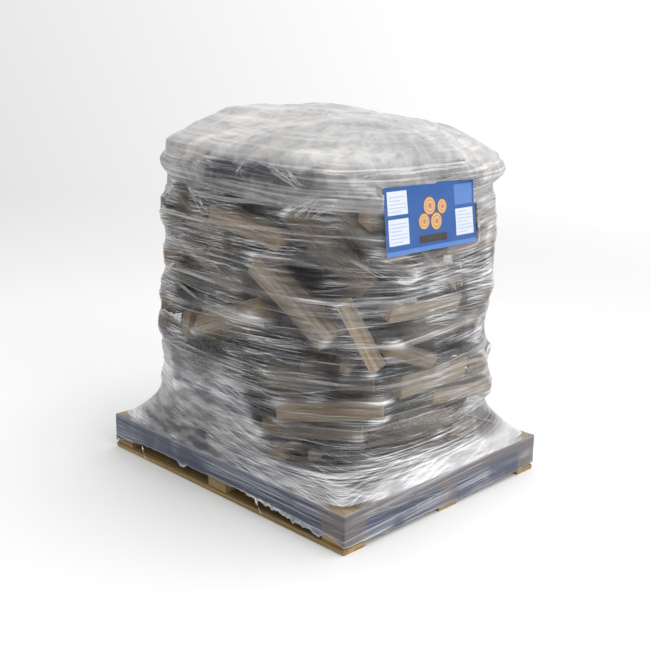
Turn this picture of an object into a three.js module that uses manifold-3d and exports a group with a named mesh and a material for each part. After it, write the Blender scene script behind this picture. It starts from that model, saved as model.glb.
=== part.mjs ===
// A pallet of split firewood, wrapped in clear stretch film with a sheet over its top.
// Millimetres, +Z up. X runs along the pallet's long side, and the origin is the middle of its footprint.
import * as THREE from 'three';
import { mergeVertices } from 'three/addons/utils/BufferGeometryUtils.js';
import Module from 'manifold-3d';

const wasm = await Module();
wasm.setup();

// Pallet: a one-way block pallet with three runners
const PALLET_LENGTH = 1200;
const PALLET_WIDTH = 1000;
const BOARD = 17; // thickness of every board
const BLOCK_HEIGHT = 77;
const BLOCK_SIDE = 92;
const BLOCK_INSET = 5; // the blocks stand back from the pallet's edges
const RUNNER_WIDTH = 96;
const CROSS_BOARD_WIDTH = 100;
const DECK_BOARD_WIDTHS = [145, 98, 98, 145, 98, 98, 145];
const DECK_Z = 3 * BOARD + BLOCK_HEIGHT;

// Load: loose split logs stacked to a rounded rectangle
const LOG_LENGTH = 330;
const LOAD_HALF_X = 552;
const LOAD_HALF_Y = 482;
const LOAD_CORNER = 300;
const SHOULDER_Z = 1090; // height of the load at its rim
const CROWN = 236; // how much higher the middle is
const CROWN_REACH = 230; // how far in from the rim the heap gains most of that height
const TOP_FALL = 0.012; // the top falls gently towards the back right corner
const NECK_Z = 1035; // the wrap pulls the load in here, under the top sheet
const NECK_DEPTH = 34;
const HEAP_LOGS = 132;
const HEAP_SINK = 5; // heap logs press this far into each other, so that they are one solid
const CLEARANCE = 0.6;
const GRAZE = 2.4; // air between a log's edge and the inside of the film that passes over it

// Film, top sheet and label
const FILM = 1.6; // thickness that stands for all the turns together
const SHEET = 1.2;
const LONG_SIDE_COLUMNS = 13;
const SHORT_SIDE_COLUMNS = 11;
const FOOT_Z = 215; // lowest ring of film that lies on the logs
const LOAD_RINGS = 13;
const STRETCH_PASSES = 160;
const HOOP_SHARE = 0.8; // how much of the pull runs round the load, the rest being up and down
const LABEL = { width: 430, height: 200, thick: 1, place: [576, -125, 978], lean: 7, turn: 0.8 };

const WOOD = { pallet: 0xb09468, split: 0xa48a68, bark: 0x6d5a48 };
const radians = THREE.MathUtils.degToRad;
const pallet_of_firewood = new THREE.Group();

function finish(color, roughness, extra = {}) {
  return new THREE.MeshStandardMaterial({ color, roughness, metalness: 0, ...extra });
}

function add(name, geometry, material, position = [0, 0, 0]) {
  const mesh = new THREE.Mesh(geometry, material);
  mesh.name = name;
  mesh.position.set(...position);
  pallet_of_firewood.add(mesh);
  return mesh;
}

// One random sequence for the whole heap, the same on every run
let seed = 20260;
function random(low, high) {
  seed = (seed * 1664525 + 1013904223) % 4294967296;
  return low + (high - low) * seed / 4294967296;
}

// Pallet: three runners, nine blocks, three cross boards, seven deck boards

const rows = [
  ['front', -1],
  ['middle', 0],
  ['back', 1],
];
const columns = [
  ['left', -1],
  ['centre', 0],
  ['right', 1],
];
const blockX = PALLET_LENGTH / 2 - BLOCK_SIDE / 2 - BLOCK_INSET;
const blockY = PALLET_WIDTH / 2 - BLOCK_SIDE / 2 - BLOCK_INSET;
const runnerY = (PALLET_WIDTH - RUNNER_WIDTH) / 2;
const crossX = (PALLET_LENGTH - CROSS_BOARD_WIDTH) / 2;

for (const [row, side] of rows) {
  const runner = new THREE.BoxGeometry(PALLET_LENGTH, RUNNER_WIDTH, BOARD);
  add(`${row}_runner`, runner, finish(WOOD.pallet, 0.85), [0, side * runnerY, BOARD / 2]);
  for (const [column, way] of columns) {
    const block = new THREE.BoxGeometry(BLOCK_SIDE, BLOCK_SIDE, BLOCK_HEIGHT);
    const place = [way * blockX, side * blockY, BOARD + BLOCK_HEIGHT / 2];
    add(`${row}_${column}_block`, block, finish(WOOD.pallet, 0.9), place);
  }
}
for (const [column, way] of columns) {
  const board = new THREE.BoxGeometry(CROSS_BOARD_WIDTH, PALLET_WIDTH, BOARD);
  add(`${column}_cross_board`, board, finish(WOOD.pallet, 0.85), [way * crossX, 0, DECK_Z - 1.5 * BOARD]);
}
const deckWood = DECK_BOARD_WIDTHS.reduce((sum, width) => sum + width, 0);
const deckGap = (PALLET_WIDTH - deckWood) / (DECK_BOARD_WIDTHS.length - 1);
let boardEdge = -PALLET_WIDTH / 2;
DECK_BOARD_WIDTHS.forEach((width, index) => {
  const board = new THREE.BoxGeometry(PALLET_LENGTH, width, BOARD);
  const place = [0, boardEdge + width / 2, DECK_Z - BOARD / 2];
  add(`deck_board_${index + 1}`, board, finish(WOOD.pallet, 0.85), place);
  boardEdge += width + deckGap;
});

// Shape of the load: distance outside its rounded outline, and the highest place a log may reach

function outsideLoad(x, y) {
  const dx = Math.abs(x) - (LOAD_HALF_X - LOAD_CORNER);
  const dy = Math.abs(y) - (LOAD_HALF_Y - LOAD_CORNER);
  return Math.hypot(Math.max(dx, 0), Math.max(dy, 0)) + Math.min(Math.max(dx, dy), 0) - LOAD_CORNER;
}

function neck(z) {
  return NECK_DEPTH * Math.exp(-(((z - NECK_Z) / 45) ** 2));
}

function loadTop(x, y) {
  const inward = Math.max(-outsideLoad(x, y), 0);
  return SHOULDER_Z + CROWN * (1 - Math.exp(-inward / CROWN_REACH)) - (x + y) * TOP_FALL;
}

// Cross-sections of a split log, one unit wide and one unit thick

const SECTIONS = {
  round: [
    [0.5, 0], [0.35, 0.35], [0, 0.5], [-0.35, 0.35],
    [-0.5, 0], [-0.35, -0.35], [0, -0.5], [0.35, -0.35],
  ],
  half: [[-0.5, -0.5], [0.5, -0.5], [0.46, -0.05], [0.24, 0.38], [0, 0.5], [-0.24, 0.38], [-0.46, -0.05]],
  quarter: [[-0.5, -0.5], [0.5, -0.5], [0.42, -0.1], [0.2, 0.2], [-0.1, 0.42], [-0.5, 0.5]],
  wedge: [[0, -0.5], [0.5, 0.2], [0.2, 0.46], [-0.2, 0.46], [-0.5, 0.2]],
  block: [[-0.5, -0.42], [0.48, -0.5], [0.42, 0.46], [-0.4, 0.5]],
  slab: [[-0.5, -0.5], [0.5, -0.44], [0.3, 0.42], [-0.26, 0.5]],
  billet: [[-0.5, -0.5], [0.5, -0.5], [0.36, 0.14], [-0.42, 0.5]],
  sheet: [[-0.5, -0.5], [0.5, -0.5], [0.5, 0.5], [-0.5, 0.5]],
};

// A log is a straight prism of one of these sections. It keeps its own corners and directions in the
// pallet's frame, so that it can be set against the logs around it.
function makeLog(kind, width, thick, length, place, heading, lean, roll) {
  const outline = SECTIONS[kind].map(([a, b]) => new THREE.Vector2(a * width, b * thick));
  const section = new THREE.Shape(outline);
  const geometry = new THREE.ExtrudeGeometry(section, { depth: length, bevelEnabled: false });
  geometry.translate(0, 0, -length / 2);
  const lengthwise = new THREE.Matrix4().makeBasis(
    new THREE.Vector3(0, 1, 0),
    new THREE.Vector3(0, 0, 1),
    new THREE.Vector3(1, 0, 0),
  );
  geometry.applyMatrix4(lengthwise);
  const turn = new THREE.Euler(radians(roll), radians(-lean), radians(heading), 'ZYX');
  const matrix = new THREE.Matrix4().makeRotationFromEuler(turn).setPosition(...place);
  const corner = (point, end) => new THREE.Vector3(end * length / 2, point.x, point.y).applyMatrix4(matrix);
  const corners = [...outline.map((p) => corner(p, -1)), ...outline.map((p) => corner(p, 1))];
  const axis = corners[outline.length].clone().sub(corners[0]).normalize();
  const edges = outline.map((p, i) => corners[(i + 1) % outline.length].clone().sub(corners[i]).normalize());
  const normals = edges.map((edge) => edge.clone().cross(axis));
  return { geometry, matrix, corners, normals: [...normals, axis], edges: [...edges, axis], length };
}

function moveLog(log, shift) {
  log.corners.forEach((corner) => corner.add(shift));
  log.matrix.premultiply(new THREE.Matrix4().makeTranslation(shift));
}

function reach(corners, axis) {
  let low = Infinity;
  let high = -Infinity;
  for (const corner of corners) {
    const along = corner.dot(axis);
    low = Math.min(low, along);
    high = Math.max(high, along);
  }
  return [low, high];
}

// The stretch of travel along a direction in which a log would run into another one, or null. A pair of
// convex solids meets only while every separating axis of the pair has the two closer than the gap.
function blockedTravel(log, other, direction, gap) {
  const axes = [...log.normals, ...other.normals];
  for (const a of log.edges) {
    for (const b of other.edges) {
      const cross = a.clone().cross(b);
      if (cross.lengthSq() > 1e-6) axes.push(cross.normalize());
    }
  }
  let from = -Infinity;
  let to = Infinity;
  for (const axis of axes) {
    const [low, high] = reach(log.corners, axis);
    const [otherLow, otherHigh] = reach(other.corners, axis);
    const speed = axis.dot(direction);
    if (Math.abs(speed) < 1e-7) {
      if (high <= otherLow - gap || low >= otherHigh + gap) return null;
    } else {
      const first = (otherLow - gap - high) / speed;
      const second = (otherHigh + gap - low) / speed;
      from = Math.max(from, Math.min(first, second));
      to = Math.min(to, Math.max(first, second));
    }
    if (from >= to) return null;
  }
  return [from, to];
}

function middle(log) {
  return new THREE.Vector3().setFromMatrixPosition(log.matrix);
}

function near(log, other) {
  const reachOut = (log.length + other.length) / 2 + 60;
  const a = middle(log);
  const b = middle(other);
  return Math.hypot(a.x - b.x, a.y - b.y) < reachOut;
}

// Travel that is free of every blocked stretch, from the ends of the stretches and zero
function freeTravel(blocked) {
  const choices = [0, ...blocked.flat()];
  return choices.filter((t) => !blocked.some(([from, to]) => t > from + 1e-6 && t < to - 1e-6));
}

// Logs that show through the film: kind, width, thickness, length, then the middle's place,
// the heading of the axis from +X, its lean up from level, and the roll about the axis

const SHOWN_LOGS = {
  slanting_front_log: ['block', 92, 74, 340, [296, -420, 718], 15, -39, 32],
  crooked_upper_log: ['quarter', 92, 84, 320, [474, -302, 900], 50, -42, 200],
  broad_upper_log: ['half', 122, 78, 330, [380, -372, 872], 38, -46, 150],
  left_pale_log: ['block', 112, 74, 340, [34, -436, 604], 0, 20, -28],
  front_level_log: ['quarter', 84, 72, 330, [356, -362, 478], 36, -1, 100],
  pale_plank_log: ['slab', 88, 52, 330, [112, -446, 932], 0, -9, 20],
  hanging_wedge_log: ['wedge', 104, 84, 300, [-70, -430, 776], 2, -28, 160],
  lower_front_log: ['block', 84, 70, 330, [398, -362, 396], 36, 5, 8],
  pointed_front_log: ['wedge', 96, 60, 240, [478, -322, 610], 50, -62, 200],
  base_corner_log: ['round', 90, 86, 330, [302, -246, 177], 125, 1, 0],
  left_upper_log: ['quarter', 78, 74, 330, [-412, -318, 906], -46, -5, 190],
  short_branch_log: ['round', 46, 46, 150, [226, -440, 852], 10, -14, 0],
  left_edge_log: ['block', 70, 62, 330, [-384, -350, 800], -44, -6, 10],
  left_tip_log: ['wedge', 84, 74, 330, [-436, -296, 708], -50, -6, 180],
  label_back_log: ['slab', 108, 56, 330, [518, -196, 1004], 90, 1, -88],
  label_far_log: ['block', 92, 60, 330, [502, 130, 966], 99, -3, 85],
  label_lower_log: ['block', 84, 62, 330, [504, 140, 868], 99, -4, 94],
  pointed_right_log: ['wedge', 66, 60, 250, [516, -40, 812], 86, -40, 180],
  right_long_log: ['slab', 62, 54, 330, [524, -96, 700], 89, -2, -80],
  right_tip_log: ['quarter', 84, 70, 330, [432, 318, 744], 128, 12, 20],
  right_pale_log: ['half', 78, 58, 330, [518, 30, 604], 90, 5, 96],
  right_short_log: ['block', 52, 50, 220, [516, -160, 548], 88, -20, 20],
  right_broad_log: ['slab', 80, 56, 330, [520, -34, 458], 90, 1, -86],
  right_low_log: ['block', 62, 54, 330, [522, 120, 376], 91, -5, 12],
  far_right_log: ['half', 74, 66, 330, [436, 322, 404], 131, -10, 60],
  low_wedge_log: ['wedge', 72, 60, 330, [350, -392, 306], 28, 3, 180],
  low_corner_log: ['half', 66, 56, 300, [508, -176, 318], 80, -4, 100],
  leaning_brown_log: ['half', 82, 56, 240, [228, -372, 560], 20, -52, 170],
  left_long_log: ['slab', 72, 60, 330, [-122, -438, 436], 0, 3, 8],
  left_low_log: ['quarter', 74, 66, 330, [-92, -442, 312], 0, 1, 185],
  left_foot_log: ['block', 66, 56, 330, [130, -450, 212], 2, 5, 4],
  left_rim_log: ['block', 80, 70, 330, [-430, -316, 596], -48, 7, 14],
  top_round_log: ['round', 86, 82, 330, [-80, -41, 1222], 30, -4, 0],
};

// Each one slides in or out, up or down, or lengthwise, whichever is the shortest way to clear those
// before it and the label
const up = new THREE.Vector3(0, 0, 1);
const { height, thick, width: labelWidth, place: labelPlace, turn, lean: labelLean } = LABEL;
const label = makeLog('sheet', height, thick, labelWidth, labelPlace, 90, turn, 90 - labelLean);
const shownLogs = [];
const PROUD = 34; // how far a log's tip may stand out of the load's outline
for (const [name, [kind, width, thick, length, place, heading, lean, roll]] of Object.entries(SHOWN_LOGS)) {
  const log = makeLog(kind, width, thick, length, place, heading, lean, roll);
  const outward = new THREE.Vector3(place[0], place[1], 0).normalize();
  const lengthwise = log.normals[log.normals.length - 1];
  const others = [label, ...shownLogs].filter((other) => near(log, other));
  const shifts = [outward, up, lengthwise].flatMap((way) => {
    const blocked = others.map((other) => blockedTravel(log, other, way, CLEARANCE)).filter(Boolean);
    return freeTravel(blocked).map((travel) => way.clone().multiplyScalar(travel));
  });
  const stands = (shift) => Math.max(...log.corners.map((c) => outsideLoad(c.x + shift.x, c.y + shift.y)));
  const shortest = shifts
    .filter((shift) => stands(shift) <= PROUD || shift.dot(outward) <= 0)
    .reduce((best, shift) => (shift.length() < best.length() ? shift : best));
  moveLog(log, shortest);
  log.name = name;
  shownLogs.push(log);
}

// The rest of the heap: logs dropped one after another, each into the lowest of a few random places

const HEAP_KINDS = ['billet', 'block', 'wedge', 'slab', 'billet'];
const TRIES = 30;
const MISSES_ALLOWED = 120;

// A point of the load's outline, where the outline faces the given way
function outlinePoint(facing, inset) {
  const nx = Math.cos(facing);
  const ny = Math.sin(facing);
  const straightX = (LOAD_HALF_X - LOAD_CORNER) * THREE.MathUtils.clamp(nx * 2, -1, 1);
  const straightY = (LOAD_HALF_Y - LOAD_CORNER) * THREE.MathUtils.clamp(ny * 2, -1, 1);
  const out = LOAD_CORNER - inset;
  return [straightX + out * nx, straightY + out * ny];
}

// Three in five lie along the rim, as the pile's face, and the others anywhere
function randomLog() {
  const kind = HEAP_KINDS[Math.floor(random(0, HEAP_KINDS.length))];
  const width = random(88, 132);
  const thick = random(74, 104);
  const lean = random(-9, 9);
  const roll = random(0, 360);
  if (random(0, 1) < 0.4) {
    const place = [random(-LOAD_HALF_X, LOAD_HALF_X), random(-LOAD_HALF_Y, LOAD_HALF_Y), 0];
    return makeLog(kind, width, thick, LOG_LENGTH, place, random(0, 180), lean, roll);
  }
  const facing = random(-Math.PI, Math.PI);
  const place = [...outlinePoint(facing, random(60, 90)), 0];
  const heading = THREE.MathUtils.radToDeg(facing) + 90 + random(-16, 16);
  return makeLog(kind, width, thick, LOG_LENGTH, place, heading, lean, roll);
}

function dropLog(log, settled) {
  const floor = DECK_Z + CLEARANCE - reach(log.corners, up)[0];
  const blocked = [[-Infinity, floor]];
  for (const other of settled) {
    if (!near(log, other)) continue;
    const gap = heapLogs.includes(other) ? -HEAP_SINK : CLEARANCE;
    const stretch = blockedTravel(log, other, up, gap);
    if (stretch) blocked.push(stretch);
  }
  const free = freeTravel(blocked).filter((t) => t >= floor);
  return Math.min(...free);
}

function fits(log, rise) {
  return log.corners.every((corner) => {
    const z = corner.z + rise;
    return outsideLoad(corner.x, corner.y) < -neck(z) && z < loadTop(corner.x, corner.y);
  });
}

const heapLogs = [];
let missed = 0;
while (heapLogs.length < HEAP_LOGS && missed < MISSES_ALLOWED) {
  let best = null;
  let lowest = Infinity;
  for (let attempt = 0; attempt < TRIES; attempt += 1) {
    const log = randomLog();
    if (log.corners.some((corner) => outsideLoad(corner.x, corner.y) > 0)) continue;
    const rise = dropLog(log, [label, ...shownLogs, ...heapLogs]);
    if (rise < lowest && fits(log, rise)) {
      best = log;
      lowest = rise;
    }
  }
  if (best) {
    moveLog(best, up.clone().multiplyScalar(lowest));
    heapLogs.push(best);
    missed = 0;
  } else {
    missed += 1;
  }
}

// Then shorter logs, each pushed in level from the side where the pile leaves room behind the film, until
// it meets a log of the heap. One is kept if its outer face ends near the load's outline.

const SIDE_LOGS = 24;
const SIDE_TRIES = 9000;
const START_OUT = 160; // how far outside the load they start
const FLUSH = 60; // how far inside the outline the outer face may end
const SIDE_LOWEST = FOOT_Z + 30; // below this the film fans out and doesn't press on the logs

function sideLog() {
  const kind = HEAP_KINDS[Math.floor(random(0, HEAP_KINDS.length))];
  const facing = random(-Math.PI, Math.PI);
  const place = [...outlinePoint(facing, -START_OUT), random(SIDE_LOWEST, SHOULDER_Z - 60)];
  const heading = THREE.MathUtils.radToDeg(facing) + 90 + random(-12, 12);
  const [width, thick, length] = [random(62, 104), random(48, 84), random(210, LOG_LENGTH)];
  const log = makeLog(kind, width, thick, length, place, heading, random(-28, 28), random(0, 360));
  return { log, inward: new THREE.Vector3(-Math.cos(facing), -Math.sin(facing), 0) };
}

function travelToHeap(log, inward) {
  let travel = Infinity;
  let met = null;
  for (const other of [label, ...shownLogs, ...heapLogs]) {
    const inHeap = heapLogs.includes(other);
    const stretch = blockedTravel(log, other, inward, inHeap ? -HEAP_SINK : CLEARANCE);
    if (stretch && stretch[1] > 0 && stretch[0] < travel) {
      travel = stretch[0];
      met = inHeap ? other : null;
    }
  }
  return met && travel > 0 ? travel : null;
}

function isFlush(log) {
  const { corners } = log;
  const stands = corners.map((corner) => outsideLoad(corner.x, corner.y) + neck(corner.z));
  const farthest = Math.max(...stands);
  const inHeight = corners.every((c) => c.z > SIDE_LOWEST && c.z < loadTop(c.x, c.y));
  return inHeight && farthest < 0 && farthest > -FLUSH;
}

const heapCount = heapLogs.length;
for (let attempt = 0; attempt < SIDE_TRIES && heapLogs.length < heapCount + SIDE_LOGS; attempt += 1) {
  const { log, inward } = sideLog();
  const travel = travelToHeap(log, inward);
  if (travel === null) continue;
  moveLog(log, inward.clone().multiplyScalar(travel));
  if (isFlush(log)) heapLogs.push(log);
}

// Booleans: a geometry to a closed solid and back

function solidOf(geometry) {
  const bare = geometry.clone();
  bare.deleteAttribute('normal');
  bare.deleteAttribute('uv');
  const merged = mergeVertices(bare, 1e-4);
  return new wasm.Manifold(
    new wasm.Mesh({
      numProp: 3,
      vertProperties: new Float32Array(merged.attributes.position.array),
      triVerts: new Uint32Array(merged.index.array),
    }),
  );
}

// Keeps the largest closed surface of a solid, so that no pocket is sealed inside it and no chip is loose
function largestSurface(solid) {
  const { vertProperties, triVerts } = solid.getMesh();
  const parent = Array.from({ length: vertProperties.length / 3 }, (unused, i) => i);
  const root = (i) => {
    while (parent[i] !== i) {
      parent[i] = parent[parent[i]];
      i = parent[i];
    }
    return i;
  };
  for (let t = 0; t < triVerts.length; t += 3) {
    parent[root(triVerts[t + 1])] = root(triVerts[t]);
    parent[root(triVerts[t + 2])] = root(triVerts[t]);
  }
  const counts = new Map();
  for (let t = 0; t < triVerts.length; t += 3) {
    const key = root(triVerts[t]);
    counts.set(key, (counts.get(key) ?? 0) + 1);
  }
  const largest = [...counts.entries()].reduce((a, b) => (b[1] > a[1] ? b : a))[0];
  const kept = [];
  for (let t = 0; t < triVerts.length; t += 3) {
    if (root(triVerts[t]) === largest) kept.push(triVerts[t], triVerts[t + 1], triVerts[t + 2]);
  }
  return surface(Array.from(vertProperties), kept);
}

function surface(positions, index) {
  const geometry = new THREE.BufferGeometry();
  geometry.setAttribute('position', new THREE.Float32BufferAttribute(positions, 3));
  geometry.setIndex(index);
  geometry.computeVertexNormals();
  return geometry;
}

add('label_sheet', label.geometry.clone().applyMatrix4(label.matrix), finish(0x0a63ae, 0.4));
for (const log of shownLogs) {
  const mesh = add(log.name, log.geometry, finish(WOOD.split, 0.88));
  mesh.applyMatrix4(log.matrix);
}
const heap = heapLogs
  .map((log) => solidOf(log.geometry.clone().applyMatrix4(log.matrix)))
  .reduce((joined, log) => joined.add(log));
add('log_heap', largestSurface(heap.simplify(0.2)), finish(WOOD.bark, 0.9));

// Film and sheet: rings of points, one for each direction from the middle to a point of the deck's edge

function deckEdge() {
  const points = [];
  const stepX = PALLET_LENGTH / LONG_SIDE_COLUMNS;
  const stepY = PALLET_WIDTH / SHORT_SIDE_COLUMNS;
  const halfX = PALLET_LENGTH / 2;
  const halfY = PALLET_WIDTH / 2;
  for (let i = 0; i < LONG_SIDE_COLUMNS; i += 1) points.push([i * stepX - halfX, -halfY]);
  for (let i = 0; i < SHORT_SIDE_COLUMNS; i += 1) points.push([halfX, i * stepY - halfY]);
  const farHalf = points.map(([x, y]) => [-x, -y]);
  return [...points, ...farHalf];
}

const rim = deckEdge().map(([x, y]) => ({ x, y, radius: Math.hypot(x, y), bearing: Math.atan2(y, x) }));
const count = rim.length;
const before = (i) => (i + count - 1) % count;
const after = (i) => (i + 1) % count;

// Farthest that any log reaches along a bearing, at a height
function logReach(bearing, z) {
  const dx = Math.cos(bearing);
  const dy = Math.sin(bearing);
  let farthest = 0;
  for (const log of [label, ...shownLogs, ...heapLogs]) {
    if (z < log.lowest || z > log.highest) continue;
    let enter = -Infinity;
    let leave = Infinity;
    for (const plane of log.planes) {
      const slope = plane.normal.x * dx + plane.normal.y * dy;
      const room = plane.offset - plane.normal.z * z;
      if (Math.abs(slope) < 1e-9) {
        if (room < 0) leave = -Infinity;
      } else if (slope > 0) leave = Math.min(leave, room / slope);
      else enter = Math.max(enter, room / slope);
    }
    if (leave > enter) farthest = Math.max(farthest, leave);
  }
  return farthest;
}

for (const log of [label, ...shownLogs, ...heapLogs]) {
  log.planes = log.normals.flatMap((normal, i) => {
    const [low, high] = reach(log.corners, normal);
    const outer = { normal, offset: high };
    const isAxis = i === log.normals.length - 1;
    return isAxis ? [outer, { normal: normal.clone().negate(), offset: -low }] : [outer];
  });
  [log.lowest, log.highest] = reach(log.corners, up);
}

// Points along the edges of the logs and the label that the film may rest on
const SAMPLE_STEP = 24;
const edgePoints = [label, ...shownLogs, ...heapLogs].flatMap((log) => {
  const n = log.corners.length / 2;
  const pairs = [];
  for (let i = 0; i < n; i += 1) pairs.push([i, (i + 1) % n], [n + i, n + (i + 1) % n], [i, n + i]);
  return pairs.flatMap(([from, to]) => {
    const start = log.corners[from];
    const end = log.corners[to];
    const steps = Math.ceil(start.distanceTo(end) / SAMPLE_STEP);
    return Array.from({ length: steps }, (unused, i) => start.clone().lerp(end, i / steps));
  });
});
const touchPoints = edgePoints.filter((point) => outsideLoad(point.x, point.y) > -110);
const topPoints = edgePoints.filter((point) => point.z > NECK_Z);

// Where a touch point lies on the net of film: its column, its ring, and its shares of the three corners
// of the flat face that covers it
function facesOver(heights) {
  return touchPoints.flatMap((point) => {
    const last = heights.length - 1;
    if (point.z < heights[0] - SAMPLE_STEP || point.z > heights[last] + SAMPLE_STEP) return [];
    const level = THREE.MathUtils.clamp(point.z, heights[0], heights[last]);
    const k = Math.min(heights.findLastIndex((z) => z <= level), last - 1);
    const bearing = Math.atan2(point.y, point.x);
    const turn = (a, b) => THREE.MathUtils.euclideanModulo(b - a, 2 * Math.PI);
    const i = rim.findIndex((start, index) => {
      const width = turn(start.bearing, rim[after(index)].bearing);
      return turn(start.bearing, bearing) < width;
    });
    const j = after(i);
    const near1 = Math.sin(turn(rim[i].bearing, bearing));
    const near2 = Math.sin(turn(bearing, rim[j].bearing));
    const s = near1 / (near1 + near2);
    const t = (level - heights[k]) / (heights[k + 1] - heights[k]);
    const spanAngle = turn(rim[i].bearing, rim[j].bearing);
    const chord = Math.hypot(1 - s + s * Math.cos(spanAngle), s * Math.sin(spanAngle));
    const corners = s >= t
      ? [[k, i, 1 - s], [k, j, s - t], [k + 1, j, t]]
      : [[k, i, 1 - t], [k + 1, j, s], [k + 1, i, t - s]];
    return [{ corners, radius: Math.hypot(point.x, point.y) / chord }];
  });
}

const LAST_PUSHES = 6;

// Stretched film: every ring is pulled straight between its neighbours around the load, and a little
// towards the rings above and below, but its flat faces stay outside the logs by a margin
function stretchRings(rings, heights, least, margin, held) {
  const faces = facesOver(heights);
  const pushOut = () => {
    for (const { corners, radius } of faces) {
      const now = corners.reduce((sum, [k, i, share]) => sum + share * rings[k][i], 0);
      const short = radius + margin - now;
      if (short > 0) {
        const weight = corners.reduce((sum, [, , share]) => sum + share * share, 0);
        corners.forEach(([k, i, share]) => {
          rings[k][i] += share * short / weight;
        });
      }
    }
  };
  for (let pass = 0; pass < STRETCH_PASSES; pass += 1) {
    for (let k = held; k < rings.length; k += 1) {
      for (let i = 0; i < count; i += 1) {
        const a = rim[before(i)].bearing;
        const b = rim[i].bearing;
        const c = rim[after(i)].bearing;
        const pull = Math.sin(c - b) / rings[k][before(i)] + Math.sin(b - a) / rings[k][after(i)];
        const straight = Math.sin(c - a) / pull;
        const level = (rings[Math.max(k - 1, 0)][i] + rings[Math.min(k + 1, rings.length - 1)][i]) / 2;
        rings[k][i] = Math.max(HOOP_SHARE * straight + (1 - HOOP_SHARE) * level, least[k][i]);
      }
    }
    pushOut();
  }
  for (let pass = 0; pass < LAST_PUSHES; pass += 1) pushOut();
}

function leastRing(z, margin) {
  return rim.map((point) => logReach(point.bearing, z) + margin);
}

// Radius of the load's outline along a bearing, from the middle
function outlineRadius(bearing) {
  let radius = LOAD_HALF_X;
  for (let pass = 0; pass < 8; pass += 1) {
    radius -= outsideLoad(Math.cos(bearing) * radius, Math.sin(bearing) * radius);
  }
  return radius;
}

// Thin closed shell between an outer grid of points and the same grid moved inwards
function shellGeometry(rings, thickness, closedTop) {
  const point = (k, i) => rings[k][i];
  const outer = rings.flat();
  const inner = [];
  for (let k = 0; k < rings.length; k += 1) {
    for (let i = 0; i < count; i += 1) {
      const around = point(k, after(i)).clone().sub(point(k, before(i)));
      const rise = point(Math.min(k + 1, rings.length - 1), i).clone().sub(point(Math.max(k - 1, 0), i));
      inner.push(point(k, i).clone().addScaledVector(around.cross(rise).normalize(), -thickness));
    }
  }
  const all = [...outer, ...inner];
  const index = [];
  const quad = (a, b, c, d) => index.push(a, b, c, a, c, d);
  for (let i = 0; i < count; i += 1) {
    const j = after(i);
    for (let k = 0; k + 1 < rings.length; k += 1) {
      const low = k * count;
      const high = low + count;
      quad(low + i, low + j, high + j, high + i);
      const [a, b, c, d] = [low + i, low + j, high + j, high + i].map((n) => n + outer.length);
      index.push(a, c, b, a, d, c);
    }
    quad(outer.length + i, outer.length + j, j, i);
    const last = outer.length - count;
    if (!closedTop) quad(last + i, last + j, outer.length + last + j, outer.length + last + i);
  }
  if (closedTop) {
    const summit = closedTop;
    const tip = all.push(summit, summit.clone().add(new THREE.Vector3(0, 0, -thickness))) - 2;
    const last = outer.length - count;
    for (let i = 0; i < count; i += 1) {
      index.push(last + i, last + after(i), tip);
      index.push(outer.length + last + after(i), outer.length + last + i, tip + 1);
    }
  }
  return surface(all.flatMap((p) => p.toArray()), index);
}

function onRim(i, radius, z) {
  return new THREE.Vector3(Math.cos(rim[i].bearing) * radius, Math.sin(rim[i].bearing) * radius, z);
}

// Top sheet: from a hem under the film, out over the shoulder, then draped over the heap's top

const SHEET_HEIGHTS = [1006, 1044, 1086, 1124];
const SHEET_SPREAD = [0, 0, 8, 0]; // it stands out past the load's outline by this much, over the neck
const SHEET_MARGIN = SHEET * 1.2 + GRAZE;
const sheetLeast = SHEET_HEIGHTS.map((z, k) => leastRing(z, SHEET_MARGIN).map((radius, i) => {
  const free = k < 2 ? 0 : outlineRadius(rim[i].bearing) + SHEET_SPREAD[k];
  return Math.max(radius, free);
}));
const sheetRings = sheetLeast.map((ring) => [...ring]);
stretchRings(sheetRings, SHEET_HEIGHTS, sheetLeast, SHEET_MARGIN, 0);

// Top of the heap inside a cell of the draped part
function heapTop(x, y, spread) {
  let top = DECK_Z;
  for (const point of topPoints) {
    if (Math.hypot(point.x - x, point.y - y) < spread) top = Math.max(top, point.z);
  }
  return top;
}

const DRAPE_SHARES = [0.9, 0.72, 0.48, 0.22]; // of the shoulder's radius, from the rim in to the middle
const DRAPE_REACH = [90, 98, 105, 105]; // half the size of the drape's faces at each share
const shoulder = sheetRings[SHEET_HEIGHTS.length - 1];
const drape = DRAPE_SHARES.map((share, k) => shoulder.map((radius, i) => {
  const place = onRim(i, radius * share, 0);
  return heapTop(place.x, place.y, DRAPE_REACH[k]);
}));
const DRAPE_LIFT = SHEET + 4;
const DRAPE_PASSES = 12;
const summitZ = heapTop(0, 0, 160) + DRAPE_LIFT;
for (let pass = 0; pass < DRAPE_PASSES; pass += 1) {
  drape.forEach((ring, k) => ring.forEach((z, i) => {
    const outerZ = k === 0 ? SHEET_HEIGHTS[SHEET_HEIGHTS.length - 1] : drape[k - 1][i];
    const innerZ = k + 1 < drape.length ? drape[k + 1][i] : summitZ;
    const level = (outerZ + innerZ + ring[before(i)] + ring[after(i)]) / 4;
    ring[i] = Math.max(z, level);
  }));
}
const sheetPoints = [
  ...SHEET_HEIGHTS.map((z, k) => sheetRings[k].map((radius, i) => onRim(i, radius, z))),
  ...drape.map((ring, k) => ring.map((z, i) => onRim(i, shoulder[i] * DRAPE_SHARES[k], z + DRAPE_LIFT))),
];
const summit = new THREE.Vector3(0, 0, summitZ + 4);
const milky = finish(0xe4e4e2, 0.35, { transparent: true, opacity: 0.5 });
add('top_sheet', shellGeometry(sheetPoints, SHEET, summit), milky);

// Stretch film: down over the deck's edge at the bottom, tight round the logs, ending over the sheet's hem

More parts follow.
